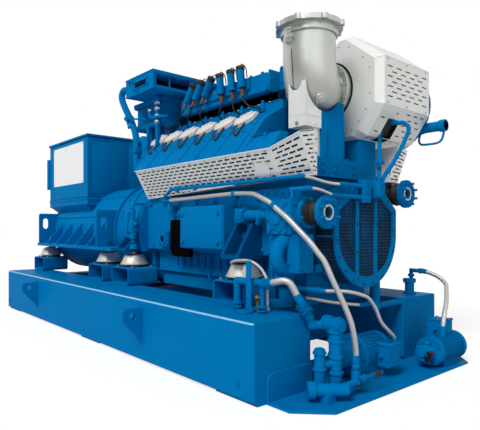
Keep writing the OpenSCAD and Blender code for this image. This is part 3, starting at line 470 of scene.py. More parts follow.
def settle(mesh: bpy.types.Mesh, name: str, finish: "Finish", body: Body,
           replaces: Sequence[str], sharp: float) -> bpy.types.Object:
    """Puts a finished mesh on the set.

    Args:
        mesh: The mesh, in metres.
        name: The piece's name.
        finish: What it is made of.
        body: The body that it rides on.
        replaces: The frame's nodes that it stands for.
        sharp: Angle in degrees past which an edge stays sharp.

    Returns:
        The piece.
    """
    mesh.polygons.foreach_set("use_smooth", [True] * len(mesh.polygons))
    mesh.set_sharp_from_angle(angle=math.radians(sharp))
    obj = bpy.data.objects.new(name, mesh)
    bpy.context.scene.collection.objects.link(obj)
    mesh.materials.append(finish.material())
    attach(obj, body.value)
    if replaces:
        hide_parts(*replaces)
    log.info("%s: %d faces, %s", name, len(mesh.polygons), finish.name)
    return obj


def dress(node: str, finish: "Finish", soft: float = 3.0, body: Body = Body.SET,
          sharp: float = SHARP) -> bpy.types.Object:
    """Stands a clean copy with soft edges in for one of the frame's nodes.

    Args:
        node: The node.
        finish: What it is made of.
        soft: Width of the rounded edges.
        body: The body that it rides on.
        sharp: Angle in degrees past which an edge stays sharp.

    Returns:
        The piece.
    """
    bm = bmesh.new()
    bm.from_mesh(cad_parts[node].data)
    bmesh.ops.remove_doubles(bm, verts=bm.verts, dist=1e-5)
    bmesh.ops.dissolve_limit(
        bm, angle_limit=FLAT_COPY, verts=bm.verts, edges=bm.edges, use_dissolve_boundaries=False)
    mesh = bpy.data.meshes.new(node + "_skin")
    bm.to_mesh(mesh)
    bm.free()
    obj = settle(mesh, node + "_skin", finish, body, [node], sharp)
    bevel = obj.modifiers.new("soft_edges", "BEVEL")
    bevel.width = soft * MM
    bevel.segments = 2
    bevel.limit_method = "ANGLE"
    bevel.angle_limit = math.radians(32)
    bevel.harden_normals = True
    bevel.miter_outer = "MITER_ARC"
    return obj


def dress_all(finish: "Finish", **widths: float) -> None:
    """Dresses several nodes in one finish, each with its width of rounded edges."""
    for node, soft in widths.items():
        dress(node, finish, soft)


# ---- Finishes ----

Value = Union["Flow", float, Sequence[float]]


class Flow:
    """A node's output that takes part in Python expressions."""

    def __init__(self, graph: "Graph", out: bpy.types.NodeSocket) -> None:
        """Keeps the output and the graph that it is in."""
        self.graph = graph
        self.out = out

    def _math(self, operation: str, first: Value, second: Value) -> "Flow":
        """Returns the result of a Math node."""
        return self.graph.add("ShaderNodeMath", {"operation": operation}, {0: first, 1: second})

    def __add__(self, other: Value) -> "Flow":
        """Returns the sum."""
        return self._math("ADD", self, other)

    __radd__ = __add__

    def __sub__(self, other: Value) -> "Flow":
        """Returns the difference."""
        return self._math("SUBTRACT", self, other)

    def __rsub__(self, other: Value) -> "Flow":
        """Returns the difference from a number."""
        return self._math("SUBTRACT", other, self)

    def __mul__(self, other: Value) -> "Flow":
        """Returns the product."""
        return self._math("MULTIPLY", self, other)

    __rmul__ = __mul__

    def __gt__(self, other: Value) -> "Flow":
        """Returns one where this is the greater."""
        return self._math("GREATER_THAN", self, other)

    def wave(self) -> "Flow":
        """Returns the sine."""
        return self._math("SINE", self, 0.0)

    def most(self, other: Value) -> "Flow":
        """Returns the greater of the two."""
        return self._math("MAXIMUM", self, other)


class Graph:
    """The node tree of one material or world."""

    def __init__(self, owner: Union[bpy.types.Material, bpy.types.World]) -> None:
        """Takes over the owner's nodes and empties them."""
        owner.use_nodes = True
        self.tree = owner.node_tree
        self.tree.nodes.clear()

    def add(self, kind: str, settings: dict, inputs: dict, out: Union[int, str] = 0) -> Flow:
        """Adds a node.

        Args:
            kind: The node's type.
            settings: Its settings, set first; stops fill a ramp.
            inputs: Values or flows for its sockets, by name or number.
            out: The output that is wanted.

        Returns:
            That output.
        """
        node = self.tree.nodes.new(kind)
        for key, value in settings.items():
            if key == "stops":
                ramp = node.color_ramp
                while len(ramp.elements) < len(value):
                    ramp.elements.new(0.5)
                for element, (place, color) in zip(ramp.elements, value):
                    element.position = place
                    element.color = (*color, 1)
            else:
                setattr(node, key, value)
        for key, value in inputs.items():
            socket = node.inputs[key]
            if isinstance(value, Flow):
                self.tree.links.new(value.out, socket)
            else:
                socket.default_value = value
        return Flow(self, node.outputs[out] if len(node.outputs) else None)

    def place(self) -> Flow:
        """Returns the place on the set, in metres."""
        return self.add("ShaderNodeTexCoord", {}, {}, "Object")

    def ray(self, kind: str) -> Flow:
        """Returns one for rays of a kind."""
        return self.add("ShaderNodeLightPath", {}, {}, kind)

    def noise(
        self, scale: float, detail: float = 3.0, where: Optional[Flow] = None, rough: float = 0.5) -> Flow:
        """Returns soft noise from nought to one.

        Args:
            scale: Waves in a metre.
            detail: How many finer layers lie on it.
            where: Coordinates, if they aren't the place itself.
            rough: How strong the finer layers are.

        Returns:
            The noise.
        """
        return self.add("ShaderNodeTexNoise", {}, {
            "Vector": where or self.place(), "Scale": scale, "Detail": detail, "Roughness": rough})

    def blend(self, factor: Value, first: Value, second: Value) -> Flow:
        """Returns a colour between two, by a factor."""
        tones = [tone if isinstance(tone, Flow) else (*tone, 1) for tone in (first, second)]
        return self.add("ShaderNodeMix", {"data_type": "RGBA"}, {0: factor, 6: tones[0], 7: tones[1]}, 2)

    def bump(self, height: Flow, strength: float, depth: float) -> Flow:
        """Returns a surface direction from a height in shares of a depth in metres."""
        return self.add("ShaderNodeBump", {}, {"Height": height, "Strength": strength, "Distance": depth})


def colour(red: int, green: int, blue: int) -> tuple[float, float, float]:
    """Returns a screen colour of 0 to 255 as light."""
    return tuple(
        (c / 255 / 12.92) if c <= 10 else ((c / 255 + 0.055) / 1.055) ** 2.4 for c in (red, green, blue))


def scaled(tone: Point, share: float) -> tuple[float, ...]:
    """Returns a colour made lighter or darker."""
    return tuple(min(c * share, 1.0) for c in tone)


@dataclass(frozen=True)
class Finish:
    """A finish of the set; its kinds say what its surface does."""

    name: str
    slot: Slot
    tone: tuple[float, float, float]
    gloss: float = 0.4
    stray: float = 0.1
    grain: float = 260.0
    depth: float = 0.15
    metal: float = 0.0
    specular: float = 0.3

    def tones(self, graph: Graph, factor: Flow) -> Flow:
        """Returns the tone, darker where a factor is nought and lighter where it is one."""
        return graph.blend(factor, scaled(self.tone, 1 - self.stray), scaled(self.tone, 1 + self.stray))

    def surface(self, graph: Graph) -> dict:
        """Returns the shader's varying inputs.

        Args:
            graph: The graph to build them in.

        Returns:
            Flows by the name of their socket.
        """
        patch = graph.noise(3.1, 4.0)
        grain = graph.noise(self.grain, 2.0)
        return {
            "Base Color": self.tones(graph, patch), "Roughness": patch * 0.16 + (self.gloss - 0.08),
            "Normal": graph.bump(grain, self.depth, 0.0012)}

    def material(self) -> bpy.types.Material:
        """Makes the finish's material when it is first asked for.

        Returns:
            The material.
        """
        known = bpy.data.materials.get(self.name)
        if known:
            return known
        material = bpy.data.materials.new(self.name)
        graph = Graph(material)
        inputs = {"Metallic": self.metal, "Specular IOR Level": self.specular}
        inputs.update(self.surface(graph))
        shader = graph.add("ShaderNodeBsdfPrincipled", {}, inputs)
        graph.add("ShaderNodeOutputMaterial", {}, {"Surface": shader})
        return material


@dataclass(frozen=True)
class Paint(Finish):
    """Machine enamel: even, a little orange peel, specks of dust scattered over it."""

    specular: float = 0.005
    dust: float = 0.12

    def surface(self, graph: Graph) -> dict:
        """Returns the shader's varying inputs, as Finish does."""
        base = super().surface(graph)
        speck = graph.noise(38.0, 6.0, rough=0.7)
        worn = graph.add(
            "ShaderNodeValToRGB", {"stops": [(0.56, (0, 0, 0)), (0.74, (1, 1, 1))]}, {"Fac": speck})
        base["Base Color"] = graph.blend(worn * self.dust, base["Base Color"], scaled(self.tone, 0.55))
        base["Roughness"] = base["Roughness"] + worn * 0.12
        return base


@dataclass(frozen=True)
class Brushed(Finish):
    """Rolled sheet steel with its fine grain along the set."""

    depth: float = 0.1
    specular: float = 0.5

    def surface(self, graph: Graph) -> dict:
        """Returns the shader's varying inputs, as Finish does."""
        drawn = graph.add("ShaderNodeMapping", {}, {"Vector": graph.place(), "Scale": (0.06, 1.0, 1.0)})
        streak = graph.noise(420.0, 2.0, drawn)
        patch = graph.noise(2.3, 3.0)
        return {"Base Color": self.tones(graph, patch * 0.7 + streak * 0.3),
                "Roughness": streak * 0.14 + (self.gloss - 0.07),
                "Normal": graph.bump(streak, self.depth, 0.0004)}


@dataclass(frozen=True)
class Cast(Finish):
    """Sand-cast metal with its grit and darker patches."""

    def surface(self, graph: Graph) -> dict:
        """Returns the shader's varying inputs, as Finish does."""
        cells = graph.add(
            "ShaderNodeTexVoronoi", {"feature": "F1"}, {"Vector": graph.place(), "Scale": self.grain})
        patch = graph.noise(7.0, 6.0, rough=0.62)
        return {
            "Base Color": self.tones(graph, patch), "Roughness": patch * 0.2 + (self.gloss - 0.1),
            "Normal": graph.bump(cells, self.depth, 0.0015)}


@dataclass(frozen=True)
class Braided(Finish):
    """Steel wire braid that crosses round a hose, on the hose's own map."""

    strands: float = 9.0

    def surface(self, graph: Graph) -> dict:
        """Returns the shader's varying inputs, as Finish does."""
        around = graph.add(
            "ShaderNodeSeparateXYZ", {}, {"Vector": graph.add("ShaderNodeTexCoord", {}, {}, "UV")})
        along = Flow(graph, around.out.node.outputs[1])
        turns = math.tau * self.strands
        left = (around * turns + along * (turns * 0.5)).wave()
        right = (around * turns - along * (turns * 0.5)).wave()
        weave = (left * right) * 0.5 + 0.5
        fine = (around * (turns * 3) + along * (turns * 1.5)).wave() * 0.5 + 0.5
        return {"Base Color": self.tones(graph, weave * 0.75 + fine * 0.25),
                "Roughness": weave * 0.15 + (self.gloss - 0.07),
                "Normal": graph.bump(weave, self.depth, 0.0012)}


BLUE = colour(0, 119, 183)
BLUE_CAST = Paint("blue_casting_paint", Slot.PAINT, BLUE, gloss=0.42, depth=0.22, grain=190.0, stray=0.12)
BLUE_SHEET = Paint(
    "blue_sheet_paint", Slot.PAINT, BLUE, gloss=0.36, depth=0.06, grain=320.0, stray=0.06, dust=0.05)
# Painted highlight: a light, glossier blue for the bands along the beams' top edges, in place of the glint
# of light on the rounded edges.
EDGE_HIGHLIGHT = Paint(
    "painted_edge_highlight", Slot.PAINT, colour(150, 205, 234), gloss=0.3, depth=0.05, grain=320.0,
    specular=0.5)
# Painted shade: a darker copy of the blue paint for the feet, damper and pulleys, which sit in shadow under
# the crankcase and behind the guard.
SHADED_BLUE = Paint(
    "shaded_blue_paint", Slot.PAINT, colour(0, 82, 138), gloss=0.45, stray=0.15, depth=0.2, dust=0.3)
STAINLESS = Brushed(
    "stainless_brushed", Slot.SHEET, colour(234, 236, 232), gloss=0.42, stray=0.05, metal=0.3)
SHINY = Brushed("bright_steel", Slot.SHEET, colour(206, 208, 205), gloss=0.3, metal=0.85)
GREY = Cast(
    "grey_cast_iron", Slot.CASTING, colour(198, 201, 196), gloss=0.38, stray=0.08, grain=380.0, depth=0.08,
    metal=0.8)
SCREW = Cast(
    "dull_screw_steel", Slot.CASTING, colour(150, 152, 150), gloss=0.42, stray=0.2, grain=600.0, depth=0.1,
    metal=0.6)
SPUN = Brushed("spun_bell_steel", Slot.SHEET, colour(206, 205, 198), stray=0.08, metal=0.6)
BRASS = Brushed(
    "worn_brass", Slot.CASTING, colour(190, 150, 74), gloss=0.34, stray=0.15, metal=0.8, specular=0.3)
WHITE_CAP = Finish("white_moulded_cap", Slot.CAP, colour(222, 219, 213), stray=0.03, depth=0.04)
WHITE_PLATE = Finish(
    "white_enamel_plate", Slot.PLATE, colour(246, 247, 247), gloss=0.3, stray=0.012, depth=0.02)
RUBBER = Finish(
    "black_moulded_rubber", Slot.RUBBER, colour(38, 33, 31), gloss=0.6, stray=0.25, depth=0.2, grain=700.0)
ORANGE = Finish(
    "orange_rubber_boot", Slot.RUBBER, colour(146, 76, 40), gloss=0.55, stray=0.12, depth=0.15, grain=500.0)
# Dark paint for the knobs, screws and the elbow's joint line; where it fills the insides behind slots and
# mesh it is painted shade.
DARK_PAINT_AND_SHADE = Cast(
    "dark_paint_and_painted_shade", Slot.HOUSING, colour(20, 21, 24), gloss=0.5, stray=0.25, grain=300.0, depth=0.2)
# Painted shade: dark navy for the insides of slots, windows and gaps, the bore of the round plug and the
# valley beside the manifold.
SHADE_NAVY = Paint("shaded_recess", Slot.HOUSING, colour(8, 34, 62), gloss=0.6, stray=0.2, depth=0.2, dust=0.3)
INK = Paint("black_box_paint", Slot.HOUSING, colour(9, 8, 9), gloss=0.6, stray=0.2, depth=0.1, dust=0.05)
WIRE = Finish(
    "painted_wire_mesh", Slot.MESH, colour(10, 74, 112), gloss=0.45, stray=0.15, depth=0.1, grain=900.0)
BRAID = Braided(
    "steel_wire_braid", Slot.BRAID, colour(196, 196, 194), stray=0.34, depth=0.6, metal=0.7, specular=0.5)


# ---- Sub-assemblies ----

MOUNTS = (-2075.0, -571.0, -95.0, 1343.0)
MOUNT_Y = 475.0
FOOT_Z = 705.0
SHAFT_Z = 880.0
HEAD_PITCH = 223.0


@dataclass
class Skid:
    """The two base beams with their cross-members, lifting lugs and front tray."""

    half_width: float = 900.0
    lugs: tuple[float, ...] = (-1250.0, 795.0)
    lug_z: tuple[float, float] = (125.0, 375.0)
    front: float = 1905.0

    def build(self) -> None:
        """Dresses the beams and adds the welds and plugs."""
        dress_all(BLUE_SHEET, near_base_beam=4, far_base_beam=4, cross_members=4)
        dress_all(BLUE_CAST, lifting_lugs=5)
        dress_all(BLUE_SHEET, front_tray=2)
        self.welds()
        self.edges()
        self.plugs()

    def welds(self) -> None:
        """Builds the weld beads of the lugs and of the beams' end plates."""
        form = Form()
        for x, side in product(self.lugs, (-20, 20)):
            form.bar((x + side, -self.half_width, self.lug_z[0]),
                     (x + side, -self.half_width, self.lug_z[1]), 6, 6)
        for x in (-2222, self.front - 3):
            form.tube([(x, -880, 30), (x, -880, 405), (x, -495, 405), (x, -495, 30)], 4, 6)
        for x, side in product(MOUNTS, (-100, 100)):
            form.bar((x + side, -MOUNT_Y, 125), (x + side, -MOUNT_Y, 368), 5, 6)
        form.mirrored().piece("skid_welds", BLUE_CAST)

    def edges(self) -> None:
        """Builds light bands along the beams' rounded top edges, a painted highlight for the glint of light
        on them.
        """
        form = Form()
        form.bar((-2210, 11 - self.half_width, 414), (self.front - 12, 11 - self.half_width, 414), 8, 16, 2)
        form.mirrored().piece("beam_edge_highlight_bands", EDGE_HIGHLIGHT)

    def plugs(self) -> None:
        """Builds the earth bosses and threaded plugs of the beams."""
        form = Form()
        for x in (-2150, 1780):
            form.bar((x, -self.half_width, 95), (x, -self.half_width - 6, 95), 16, 16, 1.5)
            form.bolt((x, -self.half_width - 6, 95), NEAR, 9)
        for y in (-620, -760):
            form.bar((self.front, y, 90), (self.front + 4, y, 90), 14, 16, 1)
        form.mirrored()
        for x, y in ((1950, -780), (1950, 780), (2195, -560), (2195, 640)):
            form.bolt((x, y, 12), UP, 8)
        form.piece("skid_plugs", BLUE_CAST)


@dataclass
class Mounts:
    """The eight flexible mounts on their stands."""

    row_y: float = MOUNT_Y
    stand_top: float = 575.0

    def build(self) -> None:
        """Builds the bells and dresses the rest."""
        dress("mount_stands", BLUE_SHEET, 4)
        dress("mount_bolts", BLUE_CAST, 2)
        self.bells()
        self.rims()
        self.fasteners()
        self.strap()

    def bells(self) -> None:
        """Builds the spun bells with their studs."""
        form = Form()
        profile = [
            (0, 18), (116, 18), (120, 20), (120, 25), (114, 29), (86, 90), (82, 98), (74, 102), (44, 104),
            (40, 108), (40, 113), (18, 114), (18, 129.5), (0, 129.5)]
        for x in MOUNTS:
            form.lathe((x, -self.row_y, self.stand_top), UP, profile, 40)
        form.mirrored().piece("mount_bell_shells", SPUN, replaces=["mount_bells"])

    def rims(self) -> None:
        """Builds the dark rubber that shows round the bells' feet."""
        form = Form()
        for x in MOUNTS:
            form.bar((x, -self.row_y, self.stand_top), (x, -self.row_y, self.stand_top + 20),
                     104, 40, 2, end_radius=100)
            form.ring((x, -self.row_y, self.stand_top + 104), UP, 52, 30, 6, 30)
        form.mirrored().piece("mount_rubber_rims", RUBBER)

    def fasteners(self) -> None:
        """Builds the bolts of the base plates and the lock nuts of the studs."""
        form = Form()
        for x in MOUNTS:
            form.bolts((x - 128, x + 128), (-88 - self.row_y, 88 - self.row_y), (self.stand_top,), UP, 11)
            form.bar((x, -self.row_y, 692), (x, -self.row_y, 704.5), 28, 6, 1.5)
        form.mirrored().piece("mount_base_bolts", SCREW)

    def strap(self) -> None:
        """Builds the earthing strap that falls past the front near mount."""
        form = Form()
        route = smooth_route([
            (1352, -560, 697), (1358, -596, 688), (1390, -606, 698), (1428, -608, 705), (1503, -608, 711),
            (1574, -608, 704), (1634, -607, 677), (1672, -606, 640), (1691, -605, 600), (1693, -605, 540),
            (1693, -605, 480), (1693, -605, 430)], 3)
        form.tube(route, 9, 8, mapped=True)
        form.bar((1352, -566, 694), (1352, -548, 705), 12, 12)
        form.bar((1693, -605, 424), (1693, -605, 446), 14, 6, 2)
        form.piece("earthing_strap", BRAID)


@dataclass
class Generator:
    """The generator's frame, end cover and adapter."""

    radius: float = 435.0
    rear: float = -2100.0
    front: float = -533.0

    def build(self) -> None:
        """Dresses the castings and adds their bolts, windows and louvres."""
        dress_all(BLUE_CAST, generator_frame=6, generator_eye_plates=4, generator_end_cover=8,
                  generator_adapter=5)
        self.windows()
        self.lips()
        self.fasteners()
        self.straps()
        self.louvres()

    def _around(
        self, form: Form, angle: float, radius: float, low: Point, high: Point, soft: float) -> None:
        """Adds a box that stands on the generator's round side.

        Args:
            form: The form to add it to.
            angle: Place round the shaft in degrees, nought at the far side and 90 on top.
            radius: Distance of the box's own origin from the shaft.
            low: Lowest corner along the shaft, around and outwards.
            high: Highest corner in the same order.
            soft: Width of the rounded edges.
        """
        before = set(form.bm.verts)
        form.block(low, high, soft)
        made = [v for v in form.bm.verts if v not in before]
        turn = Matrix.Rotation(math.radians(angle - 90), 4, "X")
        bmesh.ops.transform(
            form.bm, verts=made,
            matrix=Matrix.Translation((0, 0, SHAFT_Z)) @ turn @ Matrix.Translation((0, 0, radius)))

    def windows(self) -> None:
        """Builds dark blocks in the air slots round the adapter, painted shade for the slots' insides."""
        form = Form()
        for i in range(7):
            self._around(form, 18 + 24 * i, 452, (-400, -42, -8), (-378, 42, 1.5), 3)
        form.piece("adapter_windows", SHADE_NAVY)

    def lips(self) -> None:
        """Builds the raised rings on both sides of the air outlets."""
        form = Form()
        for x in (-505, -282):
            form.ring((x, 0, SHAFT_Z), ALONG, 466, 438, 16, 64, 4)
        form.piece("adapter_window_lips", BLUE_CAST)

    def fasteners(self) -> None:
        """Builds the bolts of the end cover, the adapter ring and the feet."""
        form = Form()
        form.bolt_circle((-2180, 0, SHAFT_Z), -ALONG, 385, 18, 12)
        form.bolt_circle((-2225, 0, SHAFT_Z), -ALONG, 150, 8, 9)
        form.bolt_circle((-230, 0, SHAFT_Z), -ALONG, 480, 30, 10, -10, 200)
        form.bolts((-1985, -1500, -1180, -860, -640), (-595, 595), (FOOT_Z + 30,), UP, 11)
        form.piece("generator_bolts", BLUE_CAST)

    def straps(self) -> None:
        """Builds the bars welded along the round frame."""
        form = Form()
        for angle in (20, 50, 130, 160):
            self._around(form, angle, self.radius, (self.rear + 60, -16, -6), (self.front - 40, 16, 9), 3)
        for x in (self.rear + 30, self.front - 30):
            form.ring((x - 14, 0, SHAFT_Z), ALONG, 444, 425, 28, 96, 3)
        form.piece("generator_frame_bars", BLUE_CAST)

    def louvres(self) -> None:
        """Builds dark blocks for the air slots of the rear end cover, painted shade for the slots' insides.
        """
        form = Form()
        for y, k in product((-285, 285), range(7)):
            z = SHAFT_Z - 150 + 50 * k
            form.block((-2183, y - 60, z - 11), (-2178, y + 60, z + 11), 2)
        form.piece("rear_louvres", SHADE_NAVY)


@dataclass
class TerminalBox:
    """The terminal box with its lid, blank plate and side box."""

    x: tuple[float, float] = (-2172.0, -1116.0)
    half: float = 450.0
    cover_z: tuple[float, float] = (1265.0, 1800.0)

    def build(self) -> None:
        """Dresses the box and adds its seams, strips and screws."""
        dress_all(BLUE_SHEET, terminal_box=5, terminal_box_lid=5)
        dress("sign_plate", WHITE_PLATE, 1.2)
        self.panels()
        self.seal_and_gap_shade()
        self.screws()
        self.rivets()

    def panels(self) -> None:
        """Builds the collar and the screwed covers of the ends."""
        form = Form()
        a, b = self.x
        low, high = self.cover_z
        form.block((a - 5, -self.half - 5, 1196), (b + 5, self.half + 5, 1222), 4)
        form.block((a - 6, -self.half - 6, 1146), (b + 6, self.half + 6, 1160), 4)
        form.block((b - 2, -400, low), (b + 4, -20, high), 2)
        form.block((b - 2, 20, low), (b + 4, 400, high), 2)
        form.block((a + 60, self.half - 2, low), (b - 60, self.half + 4, high), 2)
        form.block((-2229, -380, 1390), (-2224, 380, 1680), 2)
        form.piece("terminal_box_panels", BLUE_SHEET)

    def seal_and_gap_shade(self) -> None:
        """Builds the dark joint under the lid and round the side box: a seal, and painted shade for the gap
        under the lid's overhang.
        """
        form = Form()
        a, b = self.x
        form.block((a - 2, -self.half - 2, 1843), (b + 2, self.half + 2, 1849.6), 0.5)
        form.block((a - 3, -self.half - 3, 1222), (b + 3, self.half + 3, 1226), 0.5)
        form.piece("terminal_box_seal_and_gap_shade", SHADE_NAVY)

    def screws(self) -> None:
        """Builds the screws of the covers and of the lid."""
        form = Form()
        a, b = self.x
        form.bolts((b + 4,), (-385, -210, -35, 35, 210, 385), (1285, 1530, 1780), ALONG, 7)
        form.bolts([a + 40 + k * (b - a - 80) / 6 for k in range(7)],
                   (-self.half + 14, self.half - 14), (1873,), UP, 8)
        form.bolts((-2229,), (-350, 0, 350), (1410, 1660), -ALONG, 7)
        form.piece("terminal_box_screws", BLUE_SHEET)

    def rivets(self) -> None:
        """Builds the small screws that hold the blank plate."""
        form = Form()
        for x, z in product((-2024, -1628, -1232), (1392, 1791)):
            form.bar((x, -453.5, z), (x, -456.5, z), 6, 12, 1)
        form.piece("plate_screws", SCREW)


@dataclass
class EngineBlock:
    """The crankcase with its pan, flywheel housing, feet and side gear."""

    face: float = 400.0
    pan_y: float = 318.0

    def build(self) -> None:
        """Dresses the castings and adds ribs, bolts and side gear."""
        dress_all(BLUE_CAST, crankcase=8, flywheel_housing=8, oil_pan=12, side_covers=10)
        # The feet take the darker blue, painted shade for their place under the crankcase.
        dress("engine_feet", SHADED_BLUE, 5)
        dress("starter_housing", INK, 5)
        self.starter()
        self.ribs()
        self.fasteners()
        self.side_gear()
        self.cock()
        self.recesses()

    def ribs(self) -> None:
        """Builds the upright ribs, rim and bolts of the oil pan."""
        form = Form()
        for k in range(13):
            x = 350 + 92 * k
            form.block((x - 7, -self.pan_y - 14, 600), (x + 7, -self.pan_y + 3, 712), 3)
        form.bar((800, -self.pan_y - 24, 712), (800, -self.pan_y - 24, 545), 6, 10)
        form.bar((800, -self.pan_y - 24, 560), (800, -self.pan_y - 24, 528), 13, 6, 2)
        form.block((60, -self.pan_y - 24, 711), (1736, -self.pan_y + 4, 727.5), 4)
        form.block((62, -self.pan_y - 8, 548), (1734, -self.pan_y + 4, 562), 4)
        form.bolts(range(90, 1703, 62), (-self.pan_y - 12,), (711,), -UP, 8)
        form.mirrored().piece("oil_pan_ribs", BLUE_CAST)

    def fasteners(self) -> None:
        """Builds the bolts of the housing, deck and crankcase sides."""
        form = Form()
        form.bolt_circle((0, 0, SHAFT_Z), ALONG, 455, 16, 11, 32, 128)
        for k in range(7):
            x = 60 + HEAD_PITCH * k
            form.bar((x, -self.face, 1105), (x, -self.face - 10, 1105), 24, soft=2)
            form.bolt((x, -self.face - 10, 1105), NEAR, 13)
            form.bolt((x + 40, -self.face, 760), NEAR, 12)
        form.mirrored().piece("crankcase_bolts", BLUE_CAST)

    def side_gear(self) -> None:
        """Builds covers, bosses and brackets on the crankcase's side."""
        form = Form()
        low, high = SHAFT_Z - 117, SHAFT_Z + 174
        form.block((687, -528, low), (1175, -512, high), 9)
        for x, z in product((724, 1138), (low + 44, high - 48)):
            form.bar((x, -527, z), (x, -531, z), 22, 24, 2)
            form.bolt((x, -530, z), NEAR, 14)
        form.block((250, -438, 755), (370, -399, 880), 8)
        form.ring((310, -438, 818), NEAR, 46, 27, 9, 30, 2)
        form.bolt_circle((310, -438, 818), NEAR, 66, 4, 9, 45)
        for x in (560, 640):
            form.bar((x, -399, 1010), (x, -446, 1010), 34, 24, 4)
            form.bolt((x, -446, 1010), NEAR, 17)
        form.block((420, -470, 1030), (470, -399, 1075), 5)
        for x in (1210, 1290):
            form.bar((x, -399, 850), (x, -430, 850), 30, 24, 3)
            form.bolt((x, -430, 850), NEAR, 14)
        form.mirrored().piece("crankcase_side_gear", BLUE_CAST)

    def starter(self) -> None:
        """Builds the rounded lower end of the starter's housing."""
        form = Form()
        top = SHAFT_Z - 150
        form.prism(Axis.Y, [(412, top), (677, top), (677, top - 46), (470, top - 46),
                            (432, top - 34), (416, top - 14)], -432, -402, 3)
        form.piece("starter_lower_housing", INK)

    def cock(self) -> None:
        """Builds the stack of fittings that stands over the front near foot."""
        form = Form()
        x, y = -15, -530
        form.bar((x, y, 726), (x, y, 1066), 12, 16)
        form.bar((x, y, 728), (x, y, 768), 46, 24, 4, end_radius=30)
        for z, r, tall in (
            (775, 22, 24), (812, 27, 46), (872, 21, 22), (905, 30, 66), (985, 21, 26), (1024, 25, 30)):
            form.bar((x, y, z), (x, y, z + tall), r, 6 if tall < 40 else 20, 3)
        for dx, z in ((-62, 832), (58, 938), (-50, 1040)):
            form.bar((x, y, z), (x + dx, y - 6, z), 13, 14, 2)
            form.ball((x + dx, y - 6, z), 17)
        form.bar((x, y, 938), (x, y + 90, 938), 16, 14)
        form.pipe([(x, y, 1060), (x, y, 1085), (x, y + 20, 1108), (x, y + 130, 1112)], 11, 12)
        form.piece("drain_cock_stack", BLUE_CAST)

    def recesses(self) -> None:
        """Builds the shaded bore of the crankcase's round plug."""
        form = Form()
        form.bar((310, -446, 818), (310, -440, 818), 26, 24)
        form.mirrored().piece("crankcase_recesses", SHADE_NAVY)


@dataclass
class Heads:
    """The head covers with plug covers, leads and rails."""

    count: int = 6
    pitch: float = HEAD_PITCH
    first: float = 13.0
    fall: float = 0.769
    slope: float = 0.638

    def build(self) -> None:
        """Dresses the covers and adds loops, rails and screws."""
        dress("head_covers", BLUE_CAST, 5)
        self.caps()
        self.loops()
        self.fasteners()
        self.rails()
        self.clips()
        self.valley()

    def _on_face(self, x: float, down: float, out: float) -> Vector:
        """Returns a point on the slanted face under the plug covers.

        Args:
            x: Place along the engine.
            down: Distance below the covers' foot.
            out: Distance out of the face.

        Returns:
            The point.
        """
        return Vector((
            x, -340 - self.slope * down - self.fall * out, 1624 - self.fall * down + self.slope * out))

    def _places(self) -> list[float]:
        """Returns the places of the heads along the engine."""
        return [self.first + i * self.pitch for i in range(self.count)]

    def caps(self) -> None:
        """Builds the moulded caps over the plugs."""
        form = Form()
        for x in self._places():
            form.hull([self._on_face(x + dx, down, out) for dx, down, out in (
                (-8, 38, 0), (-8, 30, 24), (-4, -6, 34), (4, -40, 0), (60, 44, 0), (66, 36, 26),
                (150, -12, 0), (150, -22, 20), (158, -74, 0), (152, -70, 22), (70, -44, 38))])
            form.hull([self._on_face(x + dx, down, out) for dx, down, out in (
                (30, -10, 26), (130, -40, 26), (40, -24, 44), (134, -60, 40), (134, -66, 26),
                (36, -36, 30))])
        form.mirrored().piece("plug_cover_caps", WHITE_CAP, replaces=["plug_covers"])

    def loops(self) -> None:
        """Builds the black loop that hangs below each plug cover."""
        form = Form()
        for x in self._places():
            route = [self._on_face(x + dx, down, out) for dx, down, out in (
                (24, 34, 12), (28, 76, 24), (54, 122, 12), (88, 134, 9), (90, 90, 12),
                (92, 20, 12))]
            form.pipe(route, 6)
        form.mirrored().piece("plug_cover_loops", RUBBER)

    def fasteners(self) -> None:
        """Builds the screws on the covers' slanted face and the seams between heads."""
        form = Form()
        out = Vector((0, -self.fall, self.slope))
        for x in self._places():
            for dx in (10, 140):
                form.bolt(self._on_face(x + dx, 105, 0), out, 9)
            for dx in (-12, 162):
                form.bolt(self._on_face(x + dx, 24, 0), out, 8)
            form.block((x + 184, -196, 1700), (x + 190, -178, 1712), 1)
        for k in range(7):
            x = self.first - 14 + k * self.pitch
            form.bar(self._on_face(x, 8, 2), self._on_face(x, 300, 2), 5, 6)
        form.mirrored().piece("head_screws", BLUE_CAST)

    def rails(self) -> None:
        """Builds the rail that carries the leads along each bank."""
        form = Form()
        form.block((20, -182, 1770), (1380, -148, 1778), 2)
        for x in self._places():
            form.block((x + 50, -196, 1716), (x + 100, -170, 1776), 4)
            form.bar((x + 75, -180, 1772), (x + 75, -176, 1800), 12, 12, 2)
        form.mirrored().piece("lead_rails", BLUE_CAST)

    def clips(self) -> None:
        """Builds the bright clips and nuts on the rail."""
        form = Form()
        form.bolts([
            self.first + 20 + i * self.pitch / 2 for i in range(self.count * 2)], (-165,), (1778,), UP, 8)
        form.mirrored().piece("lead_rail_clips", SHINY)

    def valley(self) -> None:
        """Builds the dark sheet beside the manifold, painted shade for the shaded valley."""
        form = Form()
        form.block((30, -150, 1560), (1390, -146, 1850), 1)
        form.mirrored().piece("valley_shade_sheet", SHADE_NAVY)


